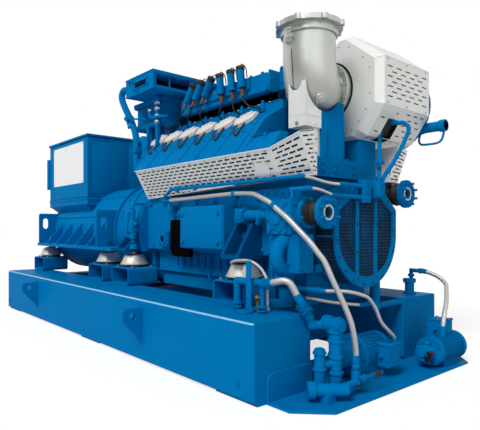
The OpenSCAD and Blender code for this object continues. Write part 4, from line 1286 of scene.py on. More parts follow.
@dataclass
class Ignition:
    """The coils with caps, boots and leads."""

    tops: tuple[float, ...] = (467.0, 583.0, 710.0, 802.0, 931.0, 1041.0)
    lean: tuple[float, ...] = (38.0,) * 3 + (-8.0,) * 3
    y: float = 250.0
    top_z: float = 2060.0
    length: float = 155.0

    def build(self) -> None:
        """Dresses the coils and adds what hangs on them."""
        dress("ignition_coils", BLUE_CAST, 3)
        self.caps()
        self.boots()
        self.leads()
        self.screws()

    def _coil(self, i: int) -> tuple[Vector, Vector]:
        """Returns the top and the axis of a coil."""
        a = math.radians(self.lean[i])
        return Vector((self.tops[i], -self.y, self.top_z)), Vector((math.sin(a), 0, math.cos(a)))

    def caps(self) -> None:
        """Builds the black caps on top of the coils."""
        form = Form()
        for i in range(len(self.tops)):
            top, axis = self._coil(i)
            form.bar(top - axis * 27, top + axis * 3, 32, 24, 4)
            form.bar(top, top + axis * 9, 15, 16, 2)
            low = top - axis * self.length
            form.bar(low + axis * 6, low - axis * 10, 27, soft=2, end_radius=15)
        form.mirrored().piece("coil_caps", RUBBER)

    def boots(self) -> None:
        """Builds the ribbed boots below the coils."""
        form = Form()
        for i in range(len(self.tops)):
            top, axis = self._coil(i)
            low = top - axis * (self.length + 8)
            profile = [(0, 0)]
            for k in range(5):
                profile += [(11, 10 * k), (14, 10 * k + 3), (11, 10 * k + 7)]
            form.lathe(low, -axis, profile + [(9, 54), (0, 54)], 16)
        form.mirrored().piece("coil_boots", ORANGE)

    def leads(self) -> None:
        """Builds the leads from the boots to the plug covers and to the rail."""
        form = Form()
        for i in range(len(self.tops)):
            top, axis = self._coil(i)
            low = top - axis * (self.length + 58)
            target = Vector((88 + HEAD_PITCH * i, -196, 1716))
            mid = (low + target) / 2 + Vector((0, -26, -18))
            form.pipe([low, low - axis * 26, mid, target + Vector((0, 2, 24)), target], 6)
            form.pipe([
                top + axis * 6, top + axis * 22 + Vector((14, 12, 0)), top + Vector((26, 34, -10)),
                top + Vector((24, 46, -70))], 4, 6, 3)
        form.mirrored().piece("coil_leads", RUBBER)

    def screws(self) -> None:
        """Builds the screws of the coil rail."""
        form = Form()
        for k in range(7):
            form.bolt((380 + 105 * k, -216, 1912 + 40 * (k % 2)), NEAR, 7)
        form.mirrored().piece("coil_screws", SHINY)


@dataclass
class IntakeSide:
    """The manifold, duct, cooler, air box and breather pipe."""

    box_x: tuple[float, float] = (-200.0, 260.0)
    box_z: tuple[float, float] = (2035.0, 2187.0)
    cooler_x: tuple[float, float] = (-370.0, 130.0)
    cooler_z: tuple[float, float] = (1790.0, 2035.0)
    breather_y: float = -440.0

    def build(self) -> None:
        """Dresses the intake side and adds its bolts and small pipes."""
        dress_all(BLUE_CAST, intake_manifold=16, charge_air_duct=12, mixture_cooler=4, cooler_stand=4)
        dress("air_inlet_box", BLUE_SHEET, 3)
        self.breather()
        self.breather_rods()
        self.fasteners()
        self.box_details()
        self.openings()
        self.cooler_side()
        self.bright()

    def breather(self) -> None:
        """Builds the breather pipe with its end collars."""
        y = self.breather_y
        route = [(-200.3, y, 2140), (-280, y, 2140), (-355, y, 2145), (-390, y, 2090),
                 (-330, y, 1990), (-200, y, 1830), (-130, y, 1700), (-120, y, 1550),
                 (-112, y, 1450), (-82, y, 1408), (-40, y, 1400), (-1.5, y, 1400)]
        form = Form()
        form.pipe(route, 29, 24, 6)
        form.bar((-232, y, 2140), (-204, y, 2140), 36, 28, 3)
        form.bar((-34, y, 1400), (-6, y, 1400), 36, 28, 3)
        form.bar((-121, y, 1560), (-119, y, 1595), 33, 28, 3)
        form.piece("breather_tube", BLUE_CAST, replaces=["breather_pipe"])

    def breather_rods(self) -> None:
        """Builds the clamps and thin rods of the breather pipe."""
        y = self.breather_y
        form = Form()
        form.bar((-240, y, 1880), (-222, y, 1858), 36, 24, 2)
        form.block((-252, y - 52, 1856), (-214, y - 28, 1884), 3)
        form.pipe([
            (-214, y - 40, 1868), (-180, y - 44, 1862), (-150, y - 30, 1856), (-60, y + 60, 1850)], 8, 8, 3)
        form.bar((-215, y - 44, 1850), (-176, y - 44, 1782), 8, 8)
        form.bar((-176, y - 44, 1782), (-118, y + 80, 1776), 8, 8)
        form.ball((-215, y - 44, 1850), 13)
        form.ball((-176, y - 44, 1782), 13)
        form.block((-160, y - 34, 1555), (-84, y + 34, 1585), 3)
        form.bolt((-122, y - 34, 1570), NEAR, 11)
        form.piece("breather_clamps", BLUE_CAST)

    def fasteners(self) -> None:
        """Builds the bolts of the cooler, the manifold and the duct."""
        form = Form()
        low, high = self.cooler_z
        a, b = self.cooler_x
        side = [a + 22 + k * (b - a - 44) / 11 for k in range(12)]
        form.bolts(side, (-318,), (low + 40,), UP, 9)
        form.bolts(side, (-318,), (high - 40,), -UP, 9)
        form.bolts((b - 12, a + 12), range(-300, 301, 50), (low + 40,), UP, 9)
        form.bolts((a + 12,), range(-300, 301, 50), (high - 40,), -UP, 9)
        form.bolts(range(250, 1211, 120), (-186,), (1990,), UP, 10)
        form.bolts((1380,), (-170, -50), (1885, 1990), ALONG, 9)
        form.block((1286, -204, 1846), (1300, 204, 1994), 3)
        form.block((1294, -104, 1852), (1306, 104, 2022), 3)
        form.piece("intake_bolts", BLUE_CAST)

    def box_details(self) -> None:
        """Builds the air box's window frame, seams, screws and hood edge."""
        form = Form()
        x0, x1 = self.box_x
        low, high = self.box_z
        y = -500
        form.block((-52, y - 5, 2078), (172, y + 1, 2147), 2)
        form.bolts((-44, 164), (y - 5,), (2086, 2139), NEAR, 7)
        form.block((x0 - 3, y - 4, high - 10), (x1 + 3, y + 4, high + 3), 2)
        form.block((x0 - 3, y - 4, low - 3), (x1 - 150, y + 4, low + 12), 2)
        form.block((x1 - 6, y, high - 30), (x1 + 4, -y, high + 2), 2)
        for post in (-330, 330):
            form.bar((x1 - 24, post, low + 25), (x1 - 24, post, high - 20), 9, 12)
        form.bolts((x0,), range(-420, 421, 168), (high - 20, low + 18), -ALONG, 7)
        form.bar((x0 - 4, self.breather_y, 2140), (x0, self.breather_y, 2140), 48, 28)
        form.bolt_circle((x0 - 4, self.breather_y, 2140), -ALONG, 41, 4, 5, 45)
        form.piece("air_box_details", BLUE_SHEET)

    def openings(self) -> None:
        """Builds dark blocks inside the window and under the hood, painted shade for the air box's hollows.
        """
        form = Form()
        form.block((-30, -507, 2090), (150, -504, 2135), 1.5)
        form.block((60, -466, 2068), (120, 466, 2154), 1)
        form.piece("air_box_hollow_shade", SHADE_NAVY)

    def cooler_side(self) -> None:
        """Builds the small pipes, posts and covers beside the cooler."""
        form = Form()
        form.block((-124, -309, 1832), (-112, -303, 1993), 2)
        form.block((-30, -322, 1850), (96, -303, 1975), 6)
        form.bar((110, -372, 1600), (110, -372, 1990), 17, soft=2)
        form.pipe([(110, -372, 1985), (110, -372, 2010), (102, -352, 2024), (80, -320, 2024)], 17, 16)
        form.pipe([(30, -395, 1905), (30, -395, 1870), (56, -395, 1842),
                                (150, -380, 1840), (204, -330, 1840)], 13, 14)
        form.pipe([
            (-150, -395, 1665), (-120, -400, 1665), (-60, -402, 1668), (-34, -402, 1640), (-30, -400, 1560),
            (-30, -400, 1500)], 34, 20)
        form.pipe([
            (-120, -505, 2150), (-100, -522, 2162), (-60, -524, 2150), (-44, -520, 2110), (20, -508, 2060),
            (60, -470, 2030)], 7)
        for x, z0, z1 in ((-60, 1500, 1790), (110, 1440, 1790)):
            form.bar((x, -360, z0), (x, -360, z1), 15, 16, 2)
            form.bolt((x, -360, z0 + 12), -UP, 20)
        form.block((-180, -440, 1470), (-10, -330, 1500), 4)
        form.block((6, -420, 1490), (130, -300, 1560), 6)
        form.mirrored().piece("cooler_side_gear", BLUE_CAST)

    def bright(self) -> None:
        """Builds the bright union nuts of the small pipes."""
        form = Form()
        for z in (1788, 1838, 1898, 1948):
            form.bar((110, -372, z), (110, -372, z + 24), 25, 6, 2)
        form.bar((30, -395, 1895), (30, -395, 1915), 20, 6, 2)
        form.mirrored().piece("cooler_bright_nuts", SHINY)


@dataclass
class ExhaustShields:
    """The perforated heat shields along both banks."""

    start: float = 60.0
    bend: float = 1650.0
    end: float = 1890.0
    foot: tuple[float, float] = (430.0, 1150.0)
    top: tuple[float, float] = (550.0, 1371.0)
    tip: tuple[tuple[float, float], ...] = ((430.0, 1207.0), (550.0, 1435.0))
    rise: float = 55.0

    def build(self) -> None:
        """Builds the sheets, the painted shade inside them and their screws."""
        self.sheets()
        self.core()
        self.screws()

    def _lifted(self) -> tuple[float, float]:
        """Returns the foot of the sheet at its front end."""
        slope = (self.top[0] - self.foot[0]) / (self.top[1] - self.foot[1])
        return self.foot[0] + slope * self.rise, self.foot[1] + self.rise

    def sheets(self) -> None:
        """Builds the slotted sheets of both sides."""
        form = Form()
        (fy, fz), (ty, tz) = self.foot, self.top
        ly, lz = self._lifted()
        a, m, b = self.start, self.bend, self.end
        tip_foot, tip_top = ((b, -y, z) for y, z in self.tip)
        edge = (Vector((m - a, -(ly - fy), lz - fz))).cross(Vector((0, -(ty - fy), tz - fz)))
        line = (Vector((m - a, -(ly - fy), lz - fz))).cross(edge)
        if line.z > 0:
            line = -line
        form.slotted([(a, -fy, fz), (m - 1, -fy, fz), (m - 1, -ty, tz), (a, -ty, tz)], 9, 22,
                     (52, 11), (0.012, 0.06), 2.5, cut=((a, -fy, fz), line))
        form.slotted(
            [(m + 1, -ly, lz), tip_foot, tip_top, (m + 1, -ty, tz)], 7, 4, (46, 11), (0.03, 0.05), 2.5)
        form.plate([(1467, -470, 1217), (1597, -470, 1217), (1597, -517, 1303), (1467, -517, 1303)], 3)
        form.hull([(x, y, z + h) for h in (0, 2) for x, y, z in
                   ((m, -ty, tz), tip_top, (b, -443, 1462), (m, -ty + 96, tz))])
        form.hull([(x, y, z + h) for h in (-2, 0) for x, y, z in
                   ((m, -ly, lz), tip_foot, (b, -400, 1207), (m, -ly + 90, lz))])
        form.hull([(x, y, z + h) for h in (-2, 0) for x, y, z in
                   ((a, -fy, fz), (m, -ly, lz), (m, -ly + 80, lz), (a, -fy + 80, fz))])
        form.block((a, -ty, tz - 1.5), (m, -ty + 96, tz + 1.5), 0)
        form.block((a, -fy - 2, fz - 2), (a + 3, -fy + 90, fz + 4), 0)
        seam = (tz - fz) / 36
        for k in range(18):
            low, high = 2 * k * seam, (2 * k + 2) * seam
            side = 5 if k % 2 else -5
            if low > 4:
                form.bar((620 + side, -fy - low * (ty - fy) / (tz - fz) - 1.6, fz + low),
                         (620 - side, -fy - high * (ty - fy) / (tz - fz) - 1.6, fz + high), 2.2, 6)
        form.prism(Axis.X, [(-fy, fz), (-ty, tz), (-ty + 97, tz), (-fy + 97, fz)], a - 1, a + 1.5)
        form.bar((m, -ly - 1, lz), (m, -ty - 1, tz), 3.5, 6)
        form.tube([(a, -ty - 0.5, tz), (m, -ty - 0.5, tz), (b, -550.5, 1435)], 4.5, 8)
        form.tube([(a, -fy, fz), (m, -ly, lz), tip_foot], 3, 8)
        form.bar(tip_foot, tip_top, 3, 8)
        form.mirrored()
        form.slotted([(b, -434, 1209), (b, -403, 1209), (b, -403, 1460), (b, -548, 1432)],
                     9, 2, (31, 10), (0.06, 0.04), 2.5)
        form.slotted([(b, 326, 1209), (b, 434, 1209), (b, 548, 1432), (b, 443, 1460)],
                     9, 2, (46, 10), (0.04, 0.04), 2.5)
        form.plate([(b, 326, 1209), (m, 326, 1209), (m, 443, 1460), (b, 443, 1460)])
        form.plate([(m, 326, 1209), (b, 326, 1209), (b, 434, 1209), (m, 434, 1209)])
        form.piece("exhaust_shield_sheets", STAINLESS, replaces=["exhaust_shields"])

    def core(self) -> None:
        """Builds the dark hull behind the slots, painted shade for the shields' shaded inside."""
        form = Form()
        (fy, fz), (ty, tz) = self.foot, self.top
        ly, lz = self._lifted()
        a, m, b, inset = self.start + 4, self.bend, self.end - 8, 13
        near = [(a, -fy + inset, fz + 5), (a, -ty + inset, tz - 5), (a, -ty + 92, tz - 5),
                (a, -fy + 92, fz + 5)]
        middle = [(m, -ly + inset, lz + 5), (m, -ty + inset, tz - 5), (m, -ty + 92, tz - 5),
                  (m, -ly + 92, lz + 5)]
        last = [(b, -430 + inset, 1215), (b, -550 + inset, 1430), (b, -452, 1450), (b, -403, 1215)]
        form.hull(near + middle)
        form.hull(middle + last)
        form.mirrored()
        form.block((b - 4, 345, 1214), (b, 448, 1330), 0)
        form.piece("exhaust_shield_inside", DARK_PAINT_AND_SHADE)

    def screws(self) -> None:
        """Builds the screws along the top and foot of the sheets."""
        form = Form()
        (fy, fz), (ty, tz) = self.foot, self.top
        out = Vector((0, -(tz - fz), (ty - fy))).normalized()
        for x, y, z in ((1477, -479, 1224), (1587, -479, 1224), (1477, -516, 1294), (1587, -516, 1294)):
            form.bar((x, y, z), Vector((x, y, z)) + out * 3.5, 5, 10)
        for x in (90, 215, 330, 470, 640, 830, 1010, 1240, 1460, 1610):
            top = Vector((x, -ty + 6, tz - 11))
            form.bar(top, top + out * 3.5, 8, 10, 1)
        for k in range(6):
            x = 120 + 290 * k
            lift = self.rise * (x - self.start) / (self.bend - self.start) + 10
            low = Vector((x, -fy - lift * (ty - fy) / (tz - fz), fz + lift))
            form.bar(low, low + out * 3.5, 7, 10, 1)
        for z in (1250, 1330, 1410):
            form.bar((self.end, -412, z), (self.end + 4, -412, z), 6, 10)
        form.mirrored().piece("exhaust_shield_screws", SCREW)


@dataclass
class Turbocharger:
    """The exhaust elbow, turbine shield, compressor and their stand."""

    x: float = 1695.0
    z: float = 1833.0
    elbow_y: float = -248.0
    joint: tuple[float, float] = (1565.0, 1826.0)
    neck: float = 2075.0
    near: float = 100.0
    edge: float = 44.0
    far: float = 686.0
    route: tuple[tuple[float, float, float, float], ...] = (
        (1695, -248, 2074, 163), (1695, -248, 2000, 162), (1695, -248, 1930, 162), (1697, -242, 1868, 164),
        (1692, -226, 1818, 168), (1678, -196, 1785, 171), (1652, -152, 1774, 168), (1622, -98, 1782, 160),
        (1598, -40, 1800, 150), (1578, 14, 1817, 142), (1568, 50, 1826, 138), (1565, 72, 1826, 137))
    face: tuple[tuple[float, float], ...] = (
        (-40, 319), (15, 319), (236, 140), (236, -136), (101, -288), (65, -326), (-65, -326),
        (-236, -137), (-236, 144))
    full: tuple[tuple[float, float], ...] = (
        (-75, 340), (44, 340), (280, 157), (280, -145), (152, -328), (90, -342), (-90, -342),
        (-236, -137), (-236, 144))

    def build(self) -> None:
        """Builds the shield and compressor and dresses the castings."""
        dress("exhaust_flange", GREY, 2.5)
        dress("turbo_pedestal", BLUE_CAST, 5)
        dress("riser_shield", STAINLESS, 3)
        self.elbow()
        self.elbow_details()
        self.seam()
        self.pedestal_details()
        self.riser_details()
        self.shield()
        self.inside()
        self.screws()
        self.compressor()
        self.oil_pipes()

    def _bend(self) -> tuple[list[Vector], list[float]]:
        """Works out the elbow's bend.

        Returns:
            Its centre line, and its radius at each point.
        """
        knots = [Vector(p) for p in self.route]
        last = len(knots) - 1
        line, radii = [], []
        for i in range(last * 5 + 1):
            k, t = min(i // 5, last - 1), i / 5 - min(i // 5, last - 1)
            a, b = knots[max(k - 1, 0)], knots[k]
            c, d = knots[k + 1], knots[min(k + 2, last)]
            p = 0.5 * (2 * b + (c - a) * t + (2 * a - 5 * b + 4 * c - d) * t * t
                       + (3 * b - a - 3 * c + d) * t ** 3)
            line.append(p.to_3d())
            radii.append(p[3])
        return line, radii

    def elbow(self) -> None:
        """Builds the elbow, which narrows towards the turbine."""
        line, radii = self._bend()
        Form().tube(line, radii, 72).piece("elbow_casting", GREY, replaces=["exhaust_elbow"], sharp=50)

    def elbow_details(self) -> None:
        """Builds the elbow's bands, clamp lug, bosses and joint bolts."""
        form = Form()
        x, y, r = self.x, self.elbow_y, 162
        form.ring((x, y, self.neck + 1), UP, r + 14, r, 39, 64, 3)
        form.lathe(
            (x, y, self.neck - 9), UP, [(r - 3, 0), (r + 2, 2), (r + 2, 6), (r - 3, 8), (r - 3, 0)], 64)
        arm, side = Vector((-0.1, -0.995, 0)), Vector((0.995, -0.1, 0))
        foot = Vector((x, y, 0)) + arm * (r + 6)
        form.prism(Axis.Y, [(x - 36, 2012), (x + 2, 2012), (x + 10, 2028), (x + 10, 2112),
                            (x - 44, 2112), (x - 44, 2028)], foot.y - 16, foot.y + 14, 3)
        for z in (2046, 2092):
            spot = foot + UP * z + arm * 8 - side * 2
            form.bar(spot, spot + side * 34, 13, 6, 1.5)
            form.bar(spot - side * 14, spot + side * 46, 7, 12, 1)
        jx, jz = self.joint
        form.lathe((jx, self.near, jz), NEAR, [(130, 0), (188, 0), (191, 3), (191, 36), (188, 40),
                                               (150, 40), (141, 56), (130, 56), (130, 0)], 64)
        form.bolt_circle((jx, self.near - 40, jz), NEAR, 170, 12, 12, 8)
        form.bar((1752, -240, 1722), (1809, -272, 1675), 38, 28, 5, end_radius=34)
        form.bar((1808, -271, 1676), (1816, -276, 1669), 22, 24, 3)
        form.piece("elbow_bands_and_bosses", GREY)

    def seam(self) -> None:
        """Builds the dark joint line down the elbow's near side."""
        line, radii = self._bend()
        path = []
        for k in range(7, 26):
            ahead = (line[k + 1] - line[k - 1]).normalized()
            out = Vector((0.03, -1, 0))
            out = (out - ahead * out.dot(ahead)).normalized()
            path.append(line[k] + out * (radii[k] + 0.6))
        Form().tube(path, 2.2, 6).piece("elbow_seam", DARK_PAINT_AND_SHADE)

    def pedestal_details(self) -> None:
        """Builds the pedestal's bolts, ribs and base."""
        form = Form()
        form.bolts((1615, 1775), (-278, -170, 20, 128), (1335,), UP, 12)
        form.bolts((1795,), (-240, -120, 60), (1260, 1300), ALONG, 11)
        form.bolts((1625, 1765), (-298,), (1275,), NEAR, 13)
        form.block((1784, -210, 1340), (1792, -190, 1560), 3)
        form.block((1784, -40, 1340), (1792, -20, 1600), 3)
        form.block((1588, -305, 1216), (1802, 158, 1226), 3)
        form.piece("pedestal_bolts", BLUE_CAST)

    def riser_details(self) -> None:
        """Builds the riser shield's seam, lip and screws."""
        form = Form()
        form.block((1650, -389, 1576), (1787, -239, 1579), 0.5)
        form.bar((1785, -300, 1530), (1789, -300, 1530), 8, 12, 1)
        form.piece("riser_shield_seams", STAINLESS)

    def _point(self, corner: Point, y: float) -> Vector:
        """Returns a corner of the shield's outline at a place across the set."""
        return Vector((self.x + corner[0], y, self.z + corner[1]))

    def _panel(self, side: int, low: float, high: float, start: float, end: float) -> list[Vector]:
        """Returns part of a side panel.

        Args:
            side: Number of the side, from the top one round the outlet's side.
            low: Lower edge, as a share of the side from its lower corner.
            high: Upper edge in the same way.
            start: Where it starts across the set.
            end: Where it ends.

        Returns:
            Its corners, foot first.
        """
        top, foot = Vector(self.full[side]), Vector(self.full[side + 1])
        a, b = foot.lerp(top, low), foot.lerp(top, high)
        return [self._point(a, start), self._point(a, end), self._point(b, end), self._point(b, start)]

    def shield(self) -> None:
        """Builds the folded and slotted sheets round the turbine."""
        form = Form()
        near, far, start = self.near, self.far, self.near + self.edge
        count = len(self.full)
        slots = {2: ((start, far, 0, 1, 7, 5, (60, 8), (0.02, 0.13)),),
                 3: ((start, 262, 0, 1, 4, 1, (46, 8), (0.2, 0.06)),
                     (400, far, 0, 1, 5, 3, (46, 8), (0.05, 0.06)),
                     (262, 400, 0.62, 1, 1, 1, (30, 7), (0.1, 0.3))),
                 4: ((start, 262, 0, 1, 1, 2, (44, 8), (0.1, 0.2)),
                     (400, far, 0, 1, 1, 3, (44, 8), (0.04, 0.2)))}
        for i in range(count):
            a, b = self.full[i], self.full[(i + 1) % count]
            low, high = self.face[i], self.face[(i + 1) % count]
            form.plate([self._point(high, near), self._point(low, near),
                        self._point(a, start), self._point(b, start)])
            for y0, y1, z0, z1, rows, columns, slot, edge in slots.get(i, ()):
                form.slotted(self._panel(i, z0, z1, y0, y1), rows, columns, slot, edge, 2.5)
            if i not in slots:
                form.plate([
                    self._point(b, start), self._point(b, far), self._point(a, far), self._point(a, start)])
            for y, corner, after in ((near, low, high), (start, a, b)):
                form.bar(self._point(corner, y), self._point(after, y), 2.2, 8)
            form.bar(self._point(a, start), self._point(a, far), 2.2, 8)
            form.bar(self._point(low, near), self._point(a, start), 2.2, 8)
        jx, jz = self.joint
        hole = [(jx + 203 * math.cos(math.tau * k / 64), near, jz + 203 * math.sin(math.tau * k / 64))
                for k in range(64)]
        form.plate([self._point(c, near) for c in self.face], 2.5, hole)
        form.plate([self._point(c, far) for c in self.full])
        form.tube([self._point(c, 372) for c in (self.full[0], self.full[1], self.full[2])], 2, 6)
        form.piece("turbine_shield_sheets", STAINLESS, replaces=["turbine_shield"])

    def inside(self) -> None:
        """Builds the dark hull behind the slots and the dark ring round the elbow's joint, painted shade for
        the shield's shaded inside.
        """
        form = Form()
        shrink = [(self.x + cx * 0.9, self.z + cz * 0.93) for cx, cz in self.full]
        form.prism(Axis.Y, shrink, self.near + self.edge + 8, self.far - 8)
        form.bar((self.joint[0], self.near + 12, self.joint[1]),
                 (self.joint[0], self.near + 60, self.joint[1]), 202, 48)
        form.piece("turbine_shield_inside", DARK_PAINT_AND_SHADE)

    def screws(self) -> None:
        """Builds the screws of the shield's edges."""
        form = Form()
        x, z, y = self.x, self.z, self.near
        for dx, dz in ((201, 88), (201, -73), (171, -169), (118, -237), (63, -287), (148, 169),
                       (40, 262), (-40, 280), (-205, 100), (-205, -100)):
            form.bar((x + dx, y, z + dz), (x + dx, y - 3, z + dz), 6, 10, 1)
        form.bar((1720, -387, 1529), (1720, -393, 1529), 12, 12, 1)
        for py, pz in product((180, 400, 640), (-130, 143)):
            form.bar((x + 280, py, z + pz), (x + 283, py, z + pz), 5, 10)
        form.piece("turbine_shield_screws", SCREW)

    def compressor(self) -> None:
        """Builds the volute with its back plate, inlet and outlet."""
        form = Form()
        x, z, back = self.x, self.z, self.far
        form.lathe((x, back, z), ACROSS, [
            (0, 0), (222, 0), (230, 5), (230, 24), (222, 30), (190, 34), (168, 40), (160, 96), (150, 110),
            (116, 124), (112, 150), (112, 188), (120, 192), (120, 200), (98, 200), (90, 180), (60, 150),
            (0, 146)], 64)
        route, radii = [], []
        for k in range(31):
            a = math.radians(-90 + 330 - k * 11)
            r = 26 + 32 * k / 30
            reach = 210 + 150 * (k / 30) ** 4 - r
            route.append((x + reach * math.cos(a), back + 60, z + reach * math.sin(a)))
            radii.append(r)
        form.tube(route, radii, 24)
        low = z - 216
        form.bar((x - 20, back + 60, low), (x + 374, back + 60, low), 35, 32, 3)
        form.bar((x + 330, back + 60, low), (x + 374, back + 60, low), 42, 32, 4)
        form.bar((x + 150, back + 60, low), (x + 210, back + 60, low), 47, 32, 3, end_radius=38)
        form.pipe([(x + 357, back + 60, low - 17), (x + 356, back + 60, low - 57),
                                (x + 342, back + 60, low - 96), (x + 312, back + 60, low - 115),
                                (x + 245, back + 60, low - 117), (x + 188, back + 60, low - 111),
                                (x + 172, back + 60, low - 76), (x + 188, back + 60, low - 28)], 8, 10)
        form.bolt_circle((x, back + 28, z), ACROSS, 212, 16, 10)
        form.piece("compressor_casting", BLUE_CAST, replaces=["compressor"])

    def oil_pipes(self) -> None:
        """Builds the bent oil pipes with their unions and block."""
        form = Form()
        first = [
            (1842, 288, 1535), (1848, 279, 1517), (1856, 268, 1497), (1880, 230, 1440), (1920, 168, 1360),
            (1955, 114, 1290), (1980, 76, 1240), (1988, 62, 1200), (1988, 62, 1150)]
        second = [(1917.5, 317, 1605.1), (1923.7, 317, 1600.8), (1929.9, 317, 1596.5),
                  (1955, 328, 1592), (1990, 340, 1588), (2022, 345, 1545), (2020, 280, 1440),
                  (2010, 190, 1320), (1994, 110, 1225), (1980, 72, 1130)]
        for route in (first, second):
            form.pipe(route, 13.5, 20, 6)
            a, b = Vector(route[0]), Vector(route[2])
            form.bar(a, a + (b - a).normalized() * 20, 20, 6, 2)
        form.block((1945, 30, 1095), (2010, 96, 1195), 5)
        form.bar((1989, 62, 1195), (1989, 62, 1222), 21, 6, 2)
        form.bar((1978, 74, 1195), (1984, 82, 1216), 20, 6, 2)
        form.bolts((2010,), (63,), (1118, 1172), ALONG, 10)
        form.block((1966, 40, 1296), (2014, 84, 1318), 4)
        form.piece("turbo_oil_tubes", BLUE_CAST, replaces=["turbo_oil_pipes"])


@dataclass
class Front:
    """The gear case, belt guard with its mesh, damper, pulleys and belts."""

    start: float = 1760.0
    end: float = 1945.0
    low: float = 540.0
    middle: float = 857.0
    side: float = 1020.0
    top: float = 1130.0
    half: float = 317.0
    cut: float = 130.0
    pitch: float = 20.0
    wire: float = 2.4

    def build(self) -> None:
        """Dresses the case and guard, and builds the mesh and the belt drive."""
        dress("front_gear_case", BLUE_CAST, 8)
        dress("front_guard", BLUE_SHEET, 2)
        # The damper takes the darker blue, painted shade for its place behind the guard.
        dress("crank_damper", SHADED_BLUE, 4)
        self.mesh()
        self.backing()
        self.fasteners()
        self.guard_screws()
        self.pulleys()
        self.belts()
        self.brackets()

    def _reach(self, z: float, inset: float) -> float:
        """Finds how far the guard reaches to either side.

        Args:
            z: The height.
            inset: How far inside the guard's edge.

        Returns:
            The half width there.
        """
        w = self.half - inset
        if z < self.middle:
            return math.sqrt(max(w * w - (self.middle - z) ** 2, 0))
        if z < self.side:
            return w
        share = (z - self.side) / (self.top - inset - self.side)
        return w - self.cut * min(share, 1)

    def _rim(self, inset: float) -> list[tuple[float, float]]:
        """Walks round the guard's outline.

        Args:
            inset: How far inside the guard's edge.

        Returns:
            Points across and up, about a mesh apart.
        """
        w = self.half - inset
        top = self.top - inset
        steps = int(math.pi * w / self.pitch)
        rim = [(w * math.cos(math.pi * k / steps), self.middle - w * math.sin(math.pi * k / steps))
               for k in range(steps + 1)]
        corners = [
            (-w, self.side), (self.cut - w, top), (w - self.cut, top), (w, self.side), (w, self.middle)]
        at = rim[-1]
        for corner in corners:
            run = math.dist(at, corner)
            count = max(int(run / self.pitch), 1)
            rim += [(at[0] + (corner[0] - at[0]) * k / count,
                     at[1] + (corner[1] - at[1]) * k / count) for k in range(1, count + 1)]
            at = corner
        return rim

    def mesh(self) -> None:
        """Builds the wires of the guard's face and band."""
        form = Form()
        x, inset = self.end - 14, 20
        count = int((self.half - inset) / self.pitch)
        for k in range(-count, count + 1):
            y = k * self.pitch
            w = self.half - inset
            low = self.middle - math.sqrt(max(w * w - y * y, 0))
            flat = w - self.cut
            top = self.top - inset
            if abs(y) > flat:
                top -= (abs(y) - flat) / self.cut * (top - self.side)
            form.bar((x, y, low), (x, y, top), self.wire, 4)
        for k in range(int((self.top - self.low - 2 * inset) / self.pitch) + 1):
            z = self.low + inset + k * self.pitch
            w = self._reach(z, inset)
            if w > 5:
                form.bar((x + 1.5, -w, z), (x + 1.5, w, z), self.wire, 4)
        rim = self._rim(14)
        for y, z in rim[:-1]:
            form.bar((self.start + 20, y, z), (self.end - 12, y, z), self.wire, 4)
        for k in range(8):
            px = self.start + 26 + k * self.pitch
            route = [(px, y, z) for y, z in rim[::2]] + [(px, *rim[-1])]
            form.tube(route, self.wire, 4)
        form.piece("guard_wire_mesh", WIRE, replaces=["guard_mesh"])

    def backing(self) -> None:
        """Builds the dark plates and block behind the mesh, painted shade for the guard's shaded inside."""
        form = Form()
        rim = self._rim(17)[::2]
        for (ay, az), (by, bz) in zip(rim, rim[1:] + rim[:1]):
            form.plate([(self.start + 4, ay, az), (self.start + 4, by, bz),
                        (self.end - 16, by, bz), (self.end - 16, ay, az)], 1)
        form.prism(Axis.X, rim, self.start + 4, self.start + 100)
        form.piece("guard_inside", DARK_PAINT_AND_SHADE)

    def fasteners(self) -> None:
        """Builds the bolts of the gear case."""
        form = Form()
        form.bolts((self.start,), (-378,), range(760, 1129, 46), ALONG, 12)
        form.bolts(range(1430, 1679, 62), (-400,), (752, 1128), NEAR, 11)
        form.bolts((self.start,), (-278,), range(770, 1071, 60), ALONG, 9)
        form.bolts(range(1440, 1531, 30), (-462,), (1486,), UP, 9)
        for x in (1420, 1540):
            form.block((x - 8, -486, 1400), (x + 8, -448, 1489), 3)
        form.mirrored()
        form.block((1398, -404, 1143), (1764, 404, 1152), 3)
        form.piece("front_bolts", BLUE_CAST)

    def guard_screws(self) -> None:
        """Builds the dark screws in the guard's band and bars."""
        form = Form()
        rim = self._rim(20)
        for k in range(0, len(rim), 5):
            y, z = rim[k]
            form.bar((self.end + 2, y, z), (self.end + 7, y, z), 7, 10, 0.8)
        for y, z in product((-95, 95), (600, 760, 930, 1075)):
            form.bar((self.end, y, z), (self.end + 5, y, z), 7, 10, 0.8)
        form.piece("guard_screws", DARK_PAINT_AND_SHADE)

    def pulleys(self) -> None:
        """Builds the grooved pulleys behind the mesh."""
        form = Form()
        for y, z, r in ((0, SHAFT_Z, 150), (-178, 1010, 82), (170, 1010, 92), (-20, 1050, 48)):
            profile = [(0, 0), (r * 0.4, 0), (r * 0.45, 14), (r * 0.85, 14), (r * 0.9, 2), (r, 0)]
            for k in range(5):
                profile += [(r, 8 * k + 2), (r - 6, 8 * k + 5), (r, 8 * k + 8)]
            profile += [(r * 0.9, 44), (r * 0.85, 30), (r * 0.3, 30), (r * 0.28, 48), (0, 48)]
            form.lathe((self.start + 122, y, z), ALONG, profile, 40)
            form.bolt_circle((self.start + 152, y, z), ALONG, r * 0.55, 6, 8)
            form.bar((self.start, y, z), (self.start + 124, y, z), r * 0.3)
        # The pulleys take the darker blue, painted shade for their place behind the guard.
        form.piece("belt_pulleys", SHADED_BLUE)

